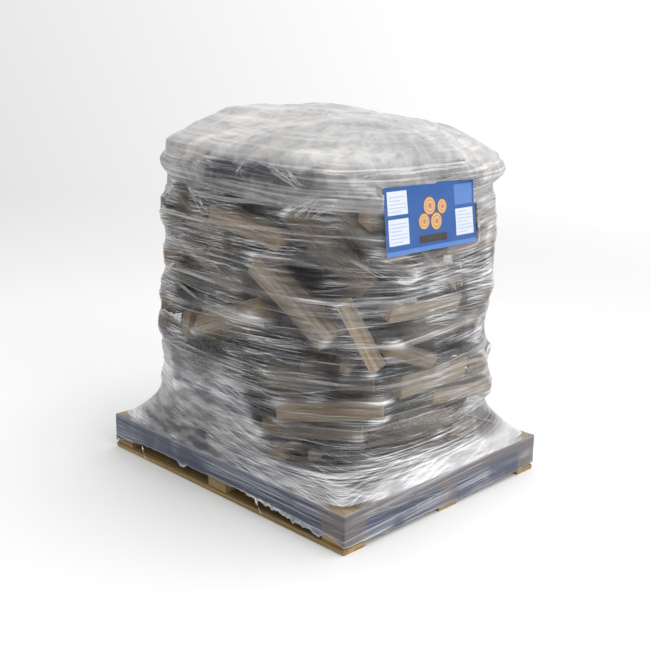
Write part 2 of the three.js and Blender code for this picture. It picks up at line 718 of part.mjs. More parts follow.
const loadStep = (SHEET_HEIGHTS[0] - FOOT_Z) / (LOAD_RINGS - 1);
const loadHeights = Array.from({ length: LOAD_RINGS }, (unused, k) => FOOT_Z + k * loadStep);
loadHeights.push(SHEET_HEIGHTS[1]);
const FILM_MARGIN = FILM * 1.2 + GRAZE;
const filmLeast = loadHeights.map((z) => leastRing(z, FILM_MARGIN));
for (const overlap of [0, 1]) {
  const k = LOAD_RINGS - 1 + overlap;
  filmLeast[k] = filmLeast[k].map((radius, i) => Math.max(radius, sheetRings[overlap][i] + FILM_MARGIN));
}
const FLARE = [0.34, 0.74]; // shares of the way from the deck's edge in to the load's outline
const FLARE_Z = [DECK_Z + 9, DECK_Z + 36];
const flareRings = FLARE.map((share) => (
  rim.map((point) => THREE.MathUtils.lerp(point.radius, outlineRadius(point.bearing), share))
));
const filmHeights = [...FLARE_Z, ...loadHeights];
const filmFloor = [...flareRings, ...filmLeast];
const filmRings = filmFloor.map((ring) => [...ring]);
stretchRings(filmRings, filmHeights, filmFloor, FILM_MARGIN, FLARE.length);

// Height of the film's lower hem: it hangs lower over the short sides than over the long ones
function hemHeight(point) {
  const alongLong = Math.abs(point.y) > PALLET_WIDTH / 2 - 1;
  const corner = Math.abs(point.x) > PALLET_LENGTH / 2 - 1 && alongLong;
  if (corner) return 24;
  return alongLong ? 57 : 15;
}

// The turns round the pallet's edge are a skirt of their own, and the turns round the logs start on top of it
const EDGE = FILM + CLEARANCE; // the skirt's outer face stands off the deck's edge by this much
const SKIRT_TOP = DECK_Z + 1.2;
const LAP = SKIRT_TOP + FILM + CLEARANCE;
const edgeRing = (z) => rim.map((point, i) => onRim(i, point.radius * (1 + 2 * EDGE / PALLET_WIDTH), z));
const skirt = [edgeRing(0).map((point, i) => point.setZ(hemHeight(rim[i]))), edgeRing(SKIRT_TOP)];
const wrapped = filmRings.map((ring, k) => ring.map((radius, i) => onRim(i, radius, filmHeights[k])));
const clear = finish(0xc4ccd2, 0.2, { transparent: true, opacity: 0.35 });
add('film_skirt', shellGeometry(skirt, FILM), clear);
add('stretch_film', shellGeometry([edgeRing(LAP), ...wrapped], FILM), clear.clone());

export default pallet_of_firewood;
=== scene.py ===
import math

import bmesh
import bpy
import numpy as np
from mathutils import Matrix, Vector
from mathutils.bvhtree import BVHTree


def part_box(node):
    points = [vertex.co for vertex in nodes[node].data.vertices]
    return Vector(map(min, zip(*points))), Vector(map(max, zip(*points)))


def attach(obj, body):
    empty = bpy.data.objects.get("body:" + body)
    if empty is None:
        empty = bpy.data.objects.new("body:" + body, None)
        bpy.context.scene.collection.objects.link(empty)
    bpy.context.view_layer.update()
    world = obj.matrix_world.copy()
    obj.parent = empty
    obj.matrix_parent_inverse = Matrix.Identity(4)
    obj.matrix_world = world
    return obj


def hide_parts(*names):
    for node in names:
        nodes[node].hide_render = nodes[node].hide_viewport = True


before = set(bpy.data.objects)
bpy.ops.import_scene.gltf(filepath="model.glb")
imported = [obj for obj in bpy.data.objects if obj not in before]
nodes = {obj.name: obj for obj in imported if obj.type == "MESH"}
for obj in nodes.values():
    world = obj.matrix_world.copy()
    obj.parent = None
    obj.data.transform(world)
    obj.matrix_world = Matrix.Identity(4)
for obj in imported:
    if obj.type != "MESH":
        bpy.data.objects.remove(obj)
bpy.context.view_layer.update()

MM = 0.001


# Pallet. Softwood boards and blocks, sawn rough and left unplaned, nailed together and greyed by rain.
# Every timber is a bar with its long edges worn round, and a few keep the curved wane of the tree's
# outside along one edge.

def linear(code):
    """An sRGB hex colour as the linear colour that a shader takes."""
    parts = [int(code[i:i + 2], 16) / 255 for i in (1, 3, 5)]
    return [*(c / 12.92 if c <= 0.04045 else ((c + 0.055) / 1.055) ** 2.4 for c in parts), 1.0]


def new_material(name):
    made = bpy.data.materials.new(name)
    made.use_nodes = True
    made.node_tree.nodes.clear()
    return made


def add_node(material, kind, inputs=None, **settings):
    """Adds a shader node. An input is a number, a colour, another node's first output, or an output."""
    tree = material.node_tree
    made = tree.nodes.new("ShaderNode" + kind)
    for name, value in settings.items():
        setattr(made, name, value)
    for key, value in (inputs or {}).items():
        if isinstance(value, bpy.types.Node):
            value = value.outputs[0]
        if isinstance(value, bpy.types.NodeSocket):
            tree.links.new(value, made.inputs[key])
        else:
            made.inputs[key].default_value = value
    return made


def wobble(places, size, seed, octaves=3):
    """A smooth random height at each place, about -1 to 1, with lumps of this size in metres."""
    draw = np.random.default_rng(seed)
    total = np.zeros(len(places))
    for octave in range(octaves):
        for _ in range(7):
            way = draw.normal(size=3)
            way *= 2 * math.pi * 2**octave / (size * np.linalg.norm(way))
            total += 0.55**octave * np.sin(places @ way + draw.uniform(0, 2 * math.pi))
    return total / 5


def along_outline(corners, step, worn=2.5 * MM):
    """Points along a closed outline: every corner, one just beside it, and one every step between.
    Gives each point's edge and its distance from the edge's nearer end as well."""
    points, edges, inset = [], [], []
    for i, start in enumerate(corners):
        run = corners[(i + 1) % len(corners)] - start
        length = np.linalg.norm(run)
        count = max(2, math.ceil((length - 2 * worn) / step) + 1)
        for place in [0.0, *np.linspace(worn, length - worn, count)]:
            points.append(start + run * place / length)
            edges.append(i)
            inset.append(min(place, length - place))
    return np.array(points), np.array(edges), np.array(inset)


END_RINGS = (0.93, 0.72, 0.45, 0.2)


def net_faces(start, rows, count, closed=True):
    """The faces between rows of points, numbered from a start. A closed net runs on round to its first
    column."""
    return [(low + i, low + (i + 1) % count, low + count + (i + 1) % count, low + count + i)
            for low in range(start, start + (rows - 1) * count, count) for i in range(count - (not closed))]


def bar(section, stations):
    """A bar along X: its section (y, z) at every station, and smaller rings to close both ends.
    Gives the points, the faces and, for each face, whether it is on an end."""
    middle = section.mean(axis=0)
    closing = [middle + (section - middle) * share for share in END_RINGS]
    rings = [(stations[0], ring) for ring in reversed(closing)]
    rings += [(x, section) for x in stations]
    rings += [(stations[-1], ring) for ring in closing]
    count = len(section)
    points = np.concatenate([np.column_stack([np.full(count, x), ring]) for x, ring in rings])
    points = np.vstack([points, [stations[0], *middle], [stations[-1], *middle]])
    faces = net_faces(0, len(rings), count)
    on_end = np.repeat([ring[0] == following[0] for ring, following in zip(rings, rings[1:])], count)
    last = (len(rings) - 1) * count
    for i in range(count):
        j = (i + 1) % count
        faces += [(len(points) - 2, j, i), (len(points) - 1, last + i, last + j)]
    return points, faces, np.append(on_end, np.ones(2 * count, bool))


def new_piece(name, points, faces, finish, crease=None):
    """A mesh object, smooth but for edges that bend by more than the crease, in degrees."""
    mesh = bpy.data.meshes.new(name)
    mesh.from_pydata(np.asarray(points).tolist(), [], faces)
    mesh.materials.append(finish)
    mesh.shade_smooth()
    if crease:
        mesh.set_sharp_from_angle(angle=math.radians(crease))
    made = bpy.data.objects.new(name, mesh)
    bpy.context.scene.collection.objects.link(made)
    return made


def write_values(piece, name, values, domain):
    """Keeps a vector or a colour for each of the mesh's corners or points, for its material to read."""
    kind, key = ("FLOAT_VECTOR", "vector") if values.shape[1] == 3 else ("FLOAT_COLOR", "color")
    layer = piece.data.attributes.new(name, kind, domain)
    layer.data.foreach_set(key, np.ravel(values).astype(np.float32))


# Rough-sawn spruce: dull yellow-brown, with darker lines of late wood along the grain every few
# millimetres, drawn at 9 mm so that they show, grey weathered patches and a dry, matt surface.
sawn_spruce = new_material("rough_sawn_spruce")
at = add_node(sawn_spruce, "Attribute", attribute_name="timber_at").outputs["Vector"]
grain_way = add_node(sawn_spruce, "Mapping", {"Vector": at, "Scale": (1.6, 38, 60)})
grain = add_node(sawn_spruce, "TexNoise",
                 {"Vector": grain_way, "Scale": 1.0, "Detail": 5.0, "Distortion": 0.6})
fibre_way = add_node(sawn_spruce, "Mapping", {"Vector": at, "Scale": (14, 420, 420)})
fibre = add_node(sawn_spruce, "TexNoise", {"Vector": fibre_way, "Scale": 1.0, "Detail": 3.0})
patches = add_node(sawn_spruce, "TexNoise",
                   {"Vector": at, "Scale": 9.0, "Detail": 4.0, "Roughness": 0.65})
late = add_node(sawn_spruce, "MapRange", {"Value": grain, "From Min": 0.4, "From Max": 0.62})
tint = add_node(sawn_spruce, "MixRGB",
                {"Fac": late, "Color1": linear("#b59a68"), "Color2": linear("#8b6f44")})
worn = add_node(sawn_spruce, "MapRange",
                {"Value": patches, "From Min": 0.42, "From Max": 0.72, "To Max": 0.75})
grey = add_node(sawn_spruce, "MixRGB", {"Fac": worn, "Color1": tint, "Color2": linear("#8a7c62")})
shade = add_node(sawn_spruce, "MapRange",
                 {"Value": fibre, "From Min": 0.3, "From Max": 0.75, "To Min": 0.72, "To Max": 1.06})
toned = add_node(sawn_spruce, "MixRGB",
                 {"Fac": 1.0, "Color1": grey, "Color2": shade}, blend_type="MULTIPLY")
relief = add_node(sawn_spruce, "Math", {0: grain, 1: fibre}, operation="ADD")
bump = add_node(sawn_spruce, "Bump", {"Strength": 0.6, "Distance": 0.0012, "Height": relief})
skin = add_node(sawn_spruce, "BsdfPrincipled",
                {"Base Color": toned, "Roughness": 0.86, "IOR": 1.45, "Normal": bump})
add_node(sawn_spruce, "OutputMaterial", {"Surface": skin})


def sawn_timber(node, grain_axis, seed):
    """A timber in place of its solid, with its grain along one axis."""
    low, high = (np.array(corner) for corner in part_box(node))
    axes = [grain_axis, (grain_axis + 1) % 3, (grain_axis + 2) % 3]
    length, width, thick = (high - low)[axes]
    corners = np.array([[-1, -1], [1, -1], [1, 1], [-1, 1]]) * [width / 2, thick / 2]
    section, _, inset = along_outline(corners, 14 * MM)
    stations = np.linspace(-length / 2, length / 2, max(6, round(length / (22 * MM))))
    points, faces, _ = bar(section, stations)
    draw = np.random.default_rng(seed)
    inset_of = np.resize(inset, len(points))
    # One timber in three keeps some wane, which comes and goes along one lower edge
    wane_side = draw.choice([-1, 1])
    waned = draw.random() < 0.35
    x = np.column_stack([points[:, 0], np.full((len(points), 2), seed * 3.1)])
    wear = 0.9 * MM + 0.5 * MM * wobble(x * [1, 0, 0] + seed, 0.05, seed)
    if waned:
        along = np.clip(wobble(x, 0.7, seed + 7, 1) - 0.1, 0, 1)
        wear = np.where((points[:, 1] * wane_side > 0) & (points[:, 2] < 0), wear + 7 * MM * along, wear)
    pull = wear * np.exp(-inset_of / (1.5 * MM)) / (min(width, thick) / 2)
    points[:, 1:] *= 1 - np.clip(pull, 0, 0.5)[:, None]
    points[:, 2] += 0.25 * MM * wobble(points + seed, 0.09, seed + 3)
    at_end = (inset_of < MM) & (abs(points[:, 0]) > length / 2 - MM)
    points[:, 0] -= 0.6 * MM * np.sign(points[:, 0]) * at_end
    places = np.empty_like(points)
    places[:, axes] = points
    made = new_piece(node + "_sawn", places + (low + high) / 2, faces, sawn_spruce, crease=30)
    corner_points = points[[i for face in faces for i in face]]
    write_values(made, "timber_at", corner_points + [seed * 1.7, 0.31 * seed, 0.03 * seed], "CORNER")
    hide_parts(node)
    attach(made, "root")


ALONG_X, ALONG_Y = 0, 1
COLUMNS = ("left", "centre", "right")
DECK_BOARDS = [f"deck_board_{number}" for number in range(1, 8)]
timbers = []
for row in ("front", "middle", "back"):
    timbers += [(f"{row}_runner", ALONG_X), *((f"{row}_{column}_block", ALONG_X) for column in COLUMNS)]
timbers += [(f"{column}_cross_board", ALONG_Y) for column in COLUMNS]
timbers += [(board, ALONG_X) for board in DECK_BOARDS]
for seed, (node, grain_axis) in enumerate(timbers, 1):
    sawn_timber(node, grain_axis, seed)

# Nails through the deck into the cross boards and blocks: flat steel heads driven nearly flush, dulled by
# rust. Two hold each board at every cross board.
rusty_nail = new_material("rusted_steel_nail")
specks = add_node(rusty_nail, "TexNoise", {"Scale": 900.0, "Detail": 2.0})
rust = add_node(rusty_nail, "MixRGB",
                {"Fac": specks, "Color1": linear("#5a5652"), "Color2": linear("#7a4a2c")})
skin = add_node(rusty_nail, "BsdfPrincipled", {"Base Color": rust, "Metallic": 0.6, "Roughness": 0.6})
add_node(rusty_nail, "OutputMaterial", {"Surface": skin})

NAIL_HEAD = 4.5 * MM
heads = bmesh.new()
deck_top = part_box("deck_board_1")[1][2]
for board in DECK_BOARDS:
    low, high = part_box(board)
    for column in COLUMNS:
        x = sum(corner[0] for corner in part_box(f"{column}_cross_board")) / 2
        for side in (-1, 1):
            y = (low[1] + high[1]) / 2 + side * (high[1] - low[1]) * 0.27
            place = Matrix.Translation((x + side * 14 * MM, y, deck_top - 0.3 * MM))
            bmesh.ops.create_cone(heads, cap_ends=True, segments=12, radius1=NAIL_HEAD,
                                  radius2=NAIL_HEAD * 0.86, depth=1.2 * MM, matrix=place)
mesh = bpy.data.meshes.new("deck_nails")
heads.to_mesh(mesh)
heads.free()
mesh.materials.append(rusty_nail)
deck_nails = bpy.data.objects.new("deck_nails", mesh)
bpy.context.scene.collection.objects.link(deck_nails)
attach(deck_nails, "root")


# Logs. Hardwood trunks and branches, sawn across at 330 mm and split with an axe: long torn fibres on the
# split faces, cracked plates of bark where the tree's outside was, and growth rings on the sawn ends.
# Each one that shows follows its own solid; the corners stay where the film rests on them.

# Split hardwood: tan where fresh and brown where old, streaked along the fibres; grey-brown bark with
# dark cracks; yellow ends with rings. Real rings are 2 to 3 mm wide, drawn at 6 mm so that they show.
split_wood = new_material("split_hardwood")
at = add_node(split_wood, "Attribute", attribute_name="log_at").outputs["Vector"]
look = add_node(split_wood, "Attribute", attribute_name="log_look").outputs["Color"]
look = add_node(split_wood, "SeparateColor", {"Color": look})
on_end, has_bark, age = look.outputs
fibre_way = add_node(split_wood, "Mapping", {"Vector": at, "Scale": (5, 170, 170)})
fibre = add_node(split_wood, "TexNoise",
                 {"Vector": fibre_way, "Scale": 1.0, "Detail": 4.0, "Roughness": 0.6})
band_way = add_node(split_wood, "Mapping", {"Vector": at, "Scale": (2.2, 34, 34)})
band = add_node(split_wood, "TexNoise",
                {"Vector": band_way, "Scale": 1.0, "Detail": 3.0, "Distortion": 0.4})
fresh = add_node(split_wood, "MixRGB",
                 {"Fac": age, "Color1": linear("#bda888"), "Color2": linear("#6c5a43")})
stain = add_node(split_wood, "MapRange",
                 {"Value": band, "From Min": 0.35, "From Max": 0.7, "To Max": 0.7})
heart = add_node(split_wood, "MixRGB", {"Fac": stain, "Color1": fresh, "Color2": linear("#544738")})
streak = add_node(split_wood, "MapRange",
                  {"Value": fibre, "From Min": 0.32, "From Max": 0.68, "To Min": 0.4, "To Max": 1.2})
split_face = add_node(split_wood, "MixRGB",
                      {"Fac": 1.0, "Color1": heart, "Color2": streak}, blend_type="MULTIPLY")

plate_way = add_node(split_wood, "Mapping", {"Vector": at, "Scale": (24, 75, 75)})
plate = add_node(split_wood, "TexVoronoi",
                 {"Vector": plate_way, "Scale": 1.0}, feature="DISTANCE_TO_EDGE")
crack = add_node(split_wood, "MapRange",
                 {"Value": plate, "From Min": 0.0, "From Max": 0.3, "To Min": 0.35})
moss = add_node(split_wood, "TexNoise", {"Vector": at, "Scale": 26.0, "Detail": 4.0})
bark_tint = add_node(split_wood, "MixRGB",
                     {"Fac": moss, "Color1": linear("#7b7060"), "Color2": linear("#5a4c3d")})
bark = add_node(split_wood, "MixRGB", {"Fac": crack, "Color1": linear("#2e2620"), "Color2": bark_tint})

across = add_node(split_wood, "Mapping", {"Vector": at, "Scale": (0, 1, 1)})
from_pith = add_node(split_wood, "VectorMath", {0: across}, operation="LENGTH").outputs["Value"]
waver = add_node(split_wood, "TexNoise", {"Vector": at, "Scale": 40.0, "Detail": 2.0})
ring_place = add_node(split_wood, "Math", {0: waver, 1: 0.008, 2: from_pith}, operation="MULTIPLY_ADD")
ring_turn = add_node(split_wood, "Math", {0: ring_place, 1: 2 * math.pi / 0.006}, operation="MULTIPLY")
ring = add_node(split_wood, "Math", {0: ring_turn}, operation="SINE")
ring_dark = add_node(split_wood, "MapRange",
                     {"Value": ring, "From Min": -1.0, "From Max": 1.0, "To Max": 0.55})
end_tint = add_node(split_wood, "MixRGB",
                    {"Fac": age, "Color1": linear("#b39c74"), "Color2": linear("#866b4b")})
end_grain = add_node(split_wood, "MixRGB",
                     {"Fac": ring_dark, "Color1": end_tint, "Color2": linear("#7c6344")})

side = add_node(split_wood, "MixRGB", {"Fac": has_bark, "Color1": split_face, "Color2": bark})
wood = add_node(split_wood, "MixRGB", {"Fac": on_end, "Color1": side, "Color2": end_grain})
# Painted shade: the wood is darkened by how deep it lies inside the load
painted_depth_shade = add_node(split_wood, "Attribute", attribute_name="painted_depth_shade").outputs["Fac"]
wood = add_node(split_wood, "MixRGB",
                {"Fac": 1.0, "Color1": wood, "Color2": painted_depth_shade}, blend_type="MULTIPLY")
bark_height = add_node(split_wood, "Math", {0: crack, 1: has_bark}, operation="MULTIPLY")
relief = add_node(split_wood, "Math", {0: fibre, 1: 0.6, 2: bark_height}, operation="MULTIPLY_ADD")
bump = add_node(split_wood, "Bump", {"Strength": 0.8, "Distance": 0.003, "Height": relief})
skin = add_node(split_wood, "BsdfPrincipled",
                {"Base Color": wood, "Roughness": 0.85, "IOR": 1.45, "Normal": bump})
add_node(split_wood, "OutputMaterial", {"Surface": skin})


def straight_log(node):
    """Middle, directions, length and outline (side, up) of a log, from the corners of its solid."""
    corners = []
    for vertex in nodes[node].data.vertices:
        place = np.array(vertex.co)
        if all(np.linalg.norm(place - other) > MM for other in corners):
            corners.append(place)
    corners = np.array(corners)
    middle = corners.mean(axis=0)
    along = np.linalg.svd(corners - middle)[2][0]
    side = np.cross([0, 0, 1], along)
    side /= np.linalg.norm(side)
    turn = np.array([along, side, np.cross(along, side)])
    local = (corners - middle) @ turn.T
    outline = local[local[:, 0] > 0][:, 1:]
    outline = outline[np.argsort(np.arctan2(*(outline - outline.mean(axis=0)).T[::-1]))]
    return middle, turn, 2 * local[:, 0].max(), outline


def bark_and_pith(outline, draw):
    """Which edges of a split section were the tree's outside, and where the tree's middle lay. Eight
    corners are a whole branch, seven a half, five or six a quarter, and fewer a piece from further in."""
    runs = np.roll(outline, -1, axis=0) - outline
    lengths = np.linalg.norm(runs, axis=1)
    order = np.argsort(-lengths)
    count = len(outline)
    middle = outline.mean(axis=0)
    if count == 8:
        return np.ones(count, bool), middle
    if count == 7:
        return np.arange(count) != order[0], outline[order[0]] + runs[order[0]] / 2
    if count in (5, 6):
        first, second = sorted(order[:2])
        apex = second if second - first == 1 else first
        return ~np.isin(np.arange(count), order[:2]), outline[apex]
    out = np.arange(count) == draw.integers(count) if draw.random() < 0.5 else np.zeros(count, bool)
    facing = draw.uniform(0, 2 * math.pi)
    return out, middle + np.array([math.cos(facing), math.sin(facing)]) * draw.uniform(0.04, 0.09)


def ramp(value, low, high):
    """0 at the low value, 1 at the high one and beyond it, and even between them."""
    return np.clip((value - low) / (high - low), 0, 1)


def split_log(node, tone, seed):
    """A log in place of its solid: torn fibres, cracked bark and sawn ends on the same prism."""
    middle, turn, length, corners = straight_log(node)
    draw = np.random.default_rng(seed)
    bark_edges, pith = bark_and_pith(corners, draw)
    section, edge, inset = along_outline(corners, 7 * MM)
    stations = np.linspace(-length / 2, length / 2, max(8, round(length / (9 * MM))))
    stations = np.insert(stations, [1, -1], [stations[0] + 2.5 * MM, stations[-1] - 2.5 * MM])
    points, faces, on_end = bar(section, stations)
    barked = np.resize(bark_edges[edge], len(points))
    inset_of = np.resize(inset, len(points))
    centre = section.mean(axis=0)
    outward = points[:, 1:] - centre
    outward /= np.maximum(np.linalg.norm(outward, axis=1), 1e-6)[:, None]
    # Millimetres inside the solid: torn fibres on split faces, rounded plates of bark, and worn edges
    stretched = points * [0.12, 1, 1] + seed * 2.3
    torn = 1.1 + 1.1 * wobble(stretched, 0.02, seed) + 1.6 * wobble(stretched, 0.07, seed + 1, 1)
    plates = 1.2 + 1.3 * wobble(points * [0.4, 1, 1], 0.022, seed + 2)
    bulge = -2.4 * np.sin(ramp(inset_of, 0, 24 * MM) * math.pi / 2)
    inward = np.where(barked, plates + bulge, np.maximum(torn, -0.2)) * ramp(inset_of, 0, 9 * MM)
    inward += 1.4 * np.exp(-inset_of / (1.5 * MM)) * (1 + 0.8 * wobble(points, 0.03, seed + 4))
    points[:, 1:] -= outward * inward[:, None] * MM
    end = abs(points[:, 0]) > length / 2 - 0.1 * MM
    points[:, 0] -= np.sign(points[:, 0]) * end * (0.5 + 0.5 * wobble(points, 0.02, seed + 5)) * MM
    made = new_piece(node + "_split", points @ turn + middle, faces, split_wood, crease=32)
    corner_index = np.array([i for face in faces for i in face])
    face_size = np.array([len(face) for face in faces])
    place = points[corner_index] - [0, *pith]
    write_values(made, "log_at", place + [draw.uniform(0, 40), 0, 0], "CORNER")
    is_bark = np.repeat(barked[[face[0] for face in faces]], face_size)
    is_end = np.repeat(on_end, face_size)
    values = np.column_stack([is_end, is_bark & ~is_end, np.full(len(is_end), tone), np.ones(len(is_end))])
    write_values(made, "log_look", values, "CORNER")
    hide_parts(node)
    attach(made, "root")
    return made


# How old and brown each split face looks, from fresh at 0 to dark at 1
LOG_AGE = {
    "slanting_front_log": 0.25, "crooked_upper_log": 0.95, "broad_upper_log": 0.85, "left_pale_log": 0.35,
    "front_level_log": 0.2, "pale_plank_log": 0.05, "hanging_wedge_log": 0.4, "lower_front_log": 0.55,
    "pointed_front_log": 0.1, "base_corner_log": 0.5, "short_branch_log": 0.3, "label_lower_log": 0.1,
    "pointed_right_log": 0.1, "right_broad_log": 0.1, "leaning_brown_log": 0.5, "left_long_log": 0.7,
}
logs = []
for number, name in enumerate(sorted(node for node in nodes if node.endswith("_log"))):
    logs.append(split_log(name, LOG_AGE.get(name, 0.3 + 0.4 * math.sin(number * 2.4) ** 2), 100 + number))


# Heap. The logs behind those that show, as they fell. Their faces meet at outward edges within a log and at
# inward ones between two logs, so every run of faces joined by outward edges is one log: it gets one
# direction of grain, one age, its sawn ends and perhaps a side of bark.

HEAP_CELL = 26 * MM

heap = bmesh.new()
heap.from_mesh(nodes["log_heap"].data)
bmesh.ops.remove_doubles(heap, verts=heap.verts, dist=0.02 * MM)
heap.faces.ensure_lookup_table()
heap.normal_update()
log_of = list(range(len(heap.faces)))


def first_of(face):
    """The face that stands for the log that this face is part of."""
    while log_of[face] != face:
        log_of[face] = log_of[log_of[face]]
        face = log_of[face]
    return face


outer_edges = [edge for edge in heap.edges
               if len(edge.link_faces) == 2 and edge.calc_face_angle_signed() > -0.02]
for edge in outer_edges:
    a, b = (first_of(face.index) for face in edge.link_faces)
    log_of[b] = a
edges_of = {}
for edge in outer_edges:
    if edge.calc_face_angle_signed() > 0.05:
        run = np.array(edge.verts[1].co - edge.verts[0].co)
        edges_of.setdefault(first_of(edge.link_faces[0].index), []).append(run)
grain_of = {}
for log, runs in edges_of.items():
    runs = np.array(runs)
    lengths = np.linalg.norm(runs, axis=1)
    ways = runs / lengths[:, None]
    alike = abs(ways @ ways.T) > 0.997
    grain_of[log] = ways[np.argmax(alike @ lengths)]

keep_log = heap.faces.layers.int.new("log")
for face in heap.faces:
    face[keep_log] = first_of(face.index)
for _ in range(5):
    long_edges = [edge for edge in heap.edges if edge.calc_length() > 1.5 * HEAP_CELL]
    if not long_edges:
        break
    bmesh.ops.subdivide_edges(heap, edges=long_edges, cuts=1)
    bmesh.ops.triangulate(heap, faces=[face for face in heap.faces if len(face.verts) > 3])
heap.normal_update()

heap.verts.ensure_lookup_table()
places = np.array([vert.co for vert in heap.verts])
normals = np.array([vert.normal for vert in heap.verts])
corners = np.array([[vert.index for vert in face.verts] for face in heap.faces])
log_number = np.array([face[keep_log] for face in heap.faces])
face_normal = np.array([face.normal for face in heap.faces])
heap.free()

# Subdividing leaves points and triangles in another order on each run, so they are put in one order
order = np.lexsort(places.T)
places, normals = places[order], normals[order]
corners = np.argsort(order)[corners]
turn = (corners.argmin(axis=1)[:, None] + [0, 1, 2]) % 3
corners = np.take_along_axis(corners, turn, axis=1)
order = np.lexsort(corners.T)
faces, log_number, face_normal = corners[order].tolist(), log_number[order], face_normal[order]
inward = (1.5 + 1.5 * wobble(places, 0.05, 60)) * MM
places -= normals * inward[:, None]

# Every face is placed along its own log's grain, and from its pith, for the split wood to follow
log_heap = new_piece("log_heap_split", places, faces, split_wood, crease=30)
along = np.array([grain_of.get(log, (1, 0, 0)) for log in log_number])


def random_of(numbers, salt):
    """The same random share for every face of one log."""
    return np.modf(abs(np.sin(numbers * 12.9898 + salt) * 43758.5453))[0]


facing = random_of(log_number, 1.0)[:, None] * 2 * math.pi
side = np.cross([0.0, 0.0, 1.0], along) + [1e-6, 0, 0]
side /= np.linalg.norm(side, axis=1)[:, None]
above = np.cross(along, side)
bark_way = side * np.cos(facing) + above * np.sin(facing)
is_end = abs((face_normal * along).sum(axis=1)) > 0.9
is_bark = ~is_end & ((face_normal * bark_way).sum(axis=1) > 0.8)
corner_places = places[np.ravel(faces)].reshape(-1, 3, 3)
local = np.stack([(corner_places * way[:, None]).sum(axis=2) for way in (along, side, above)], axis=2)
middle = np.zeros((len(faces), 3))
for log in np.unique(log_number):
    mine = log_number == log
    middle[mine] = local[mine].reshape(-1, 3).mean(axis=0)
pith = np.column_stack([30 * random_of(log_number, 2.0),
                        0.06 * np.cos(facing[:, 0]), 0.06 * np.sin(facing[:, 0])])
write_values(log_heap, "log_at", (local - middle[:, None] + pith[:, None]).reshape(-1, 3), "CORNER")
age = 0.1 + 0.9 * random_of(log_number, 3.0)
values = np.column_stack([is_end, is_bark, age, np.ones(len(faces))])
write_values(log_heap, "log_look", np.repeat(values, 3, axis=0), "CORNER")
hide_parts("log_heap")
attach(log_heap, "root")


# Offcuts. Short splinters and chunks that came off when the logs were split lie in the gaps of the heap,
# each on the log below it. They are too small and too many for solids of their own.

OFFCUT_TRIES = 2600
OFFCUT_SECTION, OFFCUT_ROWS = 5, 5
# The first tries fall where one could look right through the heap
THIN_SPOTS = [(0.45, 0.12, 0.8), (-0.35, -0.37, 0.53), (-0.2, -0.37, 0.34)]
THIN_SPOT_TRIES = 90
# The load's plan is a rectangle with round corners: half of each flat side, and the corners' radius
LOAD_FLAT = np.array([252, 182]) * MM
LOAD_CORNER = 300 * MM
LOAD_TOP = 1200 * MM


def past_outline(places):
    """How far each (x, y) lies outside the load's plan; it is below 0 inside."""
    past = abs(places) - LOAD_FLAT
    beyond = np.hypot(*np.moveaxis(np.maximum(past, 0), -1, 0))
    return beyond + np.minimum(past.max(axis=-1), 0) - LOAD_CORNER


def surface_of(*pieces):
    """All the faces of some pieces, for rays to find."""
    points, faces = [], []
    for piece in pieces:
        offset = len(points)
        points += [vertex.co.copy() for vertex in piece.data.vertices]
        faces += [[offset + i for i in polygon.vertices] for polygon in piece.data.polygons]
    return BVHTree.FromPolygons(points, faces)


lying_wood = surface_of(*logs, log_heap)
draw = np.random.default_rng(61)
chunk_points, chunk_faces, chunk_at, chunk_look = [], [], [], []
for number in range(OFFCUT_TRIES):
    turn = draw.uniform(0, 2 * math.pi)
    corner = np.array([math.cos(turn), math.sin(turn)])
    inset = draw.uniform(75, 190) * MM
    spot = np.sign(corner) * np.minimum(abs(corner) * 2, 1) * LOAD_FLAT + corner * (LOAD_CORNER - inset)
    start = Vector((*spot, draw.uniform(0.26, 1.05)))
    if number < THIN_SPOT_TRIES:
        start = Vector(THIN_SPOTS[number % 3] + draw.normal(size=3) * 20 * MM)
    # A chunk lies on the log below, under another one, and has room to both sides
    hit, upright = lying_wood.ray_cast(start, Vector((0, 0, -1)), 0.12)[:2]
    roof = lying_wood.ray_cast(start, Vector((0, 0, 1)), 0.5)[3]
    if hit is None or upright.z < 0.25 or roof is None:
        continue
    half = draw.uniform(45, 85) * MM
    stout = draw.uniform(15, 28) * MM
    along_chunk = np.array([*draw.normal(size=2), 0.2 * draw.normal()])
    along_chunk /= np.linalg.norm(along_chunk)
    middle = np.array(hit) + np.array(upright) * stout * 0.8
    both_ends = middle + np.outer((-half, half), along_chunk)
    free = [lying_wood.ray_cast(Vector(middle), Vector(way), half)[3] or half
            for way in (along_chunk, -along_chunk)]
    if past_outline(both_ends[:, :2]).max() > -10 * MM or min(free) < half * 0.7:
        continue
    aside = np.cross(along_chunk, upright)
    aside /= np.linalg.norm(aside)
    over = np.cross(aside, along_chunk)
    angles = np.sort(draw.uniform(0, 2 * math.pi / OFFCUT_SECTION, OFFCUT_SECTION)
                     + np.arange(OFFCUT_SECTION) * 2 * math.pi / OFFCUT_SECTION)
    widths = stout * draw.uniform(0.75, 1.15, OFFCUT_SECTION)
    first = len(chunk_points)
    age = draw.uniform(0.3, 1.0)
    for share in np.linspace(-1, 1, OFFCUT_ROWS):
        for angle, width in zip(angles, widths * (1 + 0.12 * draw.normal())):
            across_chunk = np.array([share * half, width * math.cos(angle), width * math.sin(angle)])
            chunk_points.append(middle + across_chunk @ np.array([along_chunk, aside, over]))
            chunk_at.append(across_chunk + [middle[0] * 9, 0.05, 0.02])
            chunk_look.append([0, 0, age, 1])
    chunk_faces += net_faces(first, OFFCUT_ROWS, OFFCUT_SECTION)
    chunk_faces.append(tuple(reversed(range(first, first + OFFCUT_SECTION))))
    chunk_faces.append(tuple(range(len(chunk_points) - OFFCUT_SECTION, len(chunk_points))))
offcuts = new_piece("split_wood_offcuts", chunk_points, chunk_faces, split_wood, crease=30)
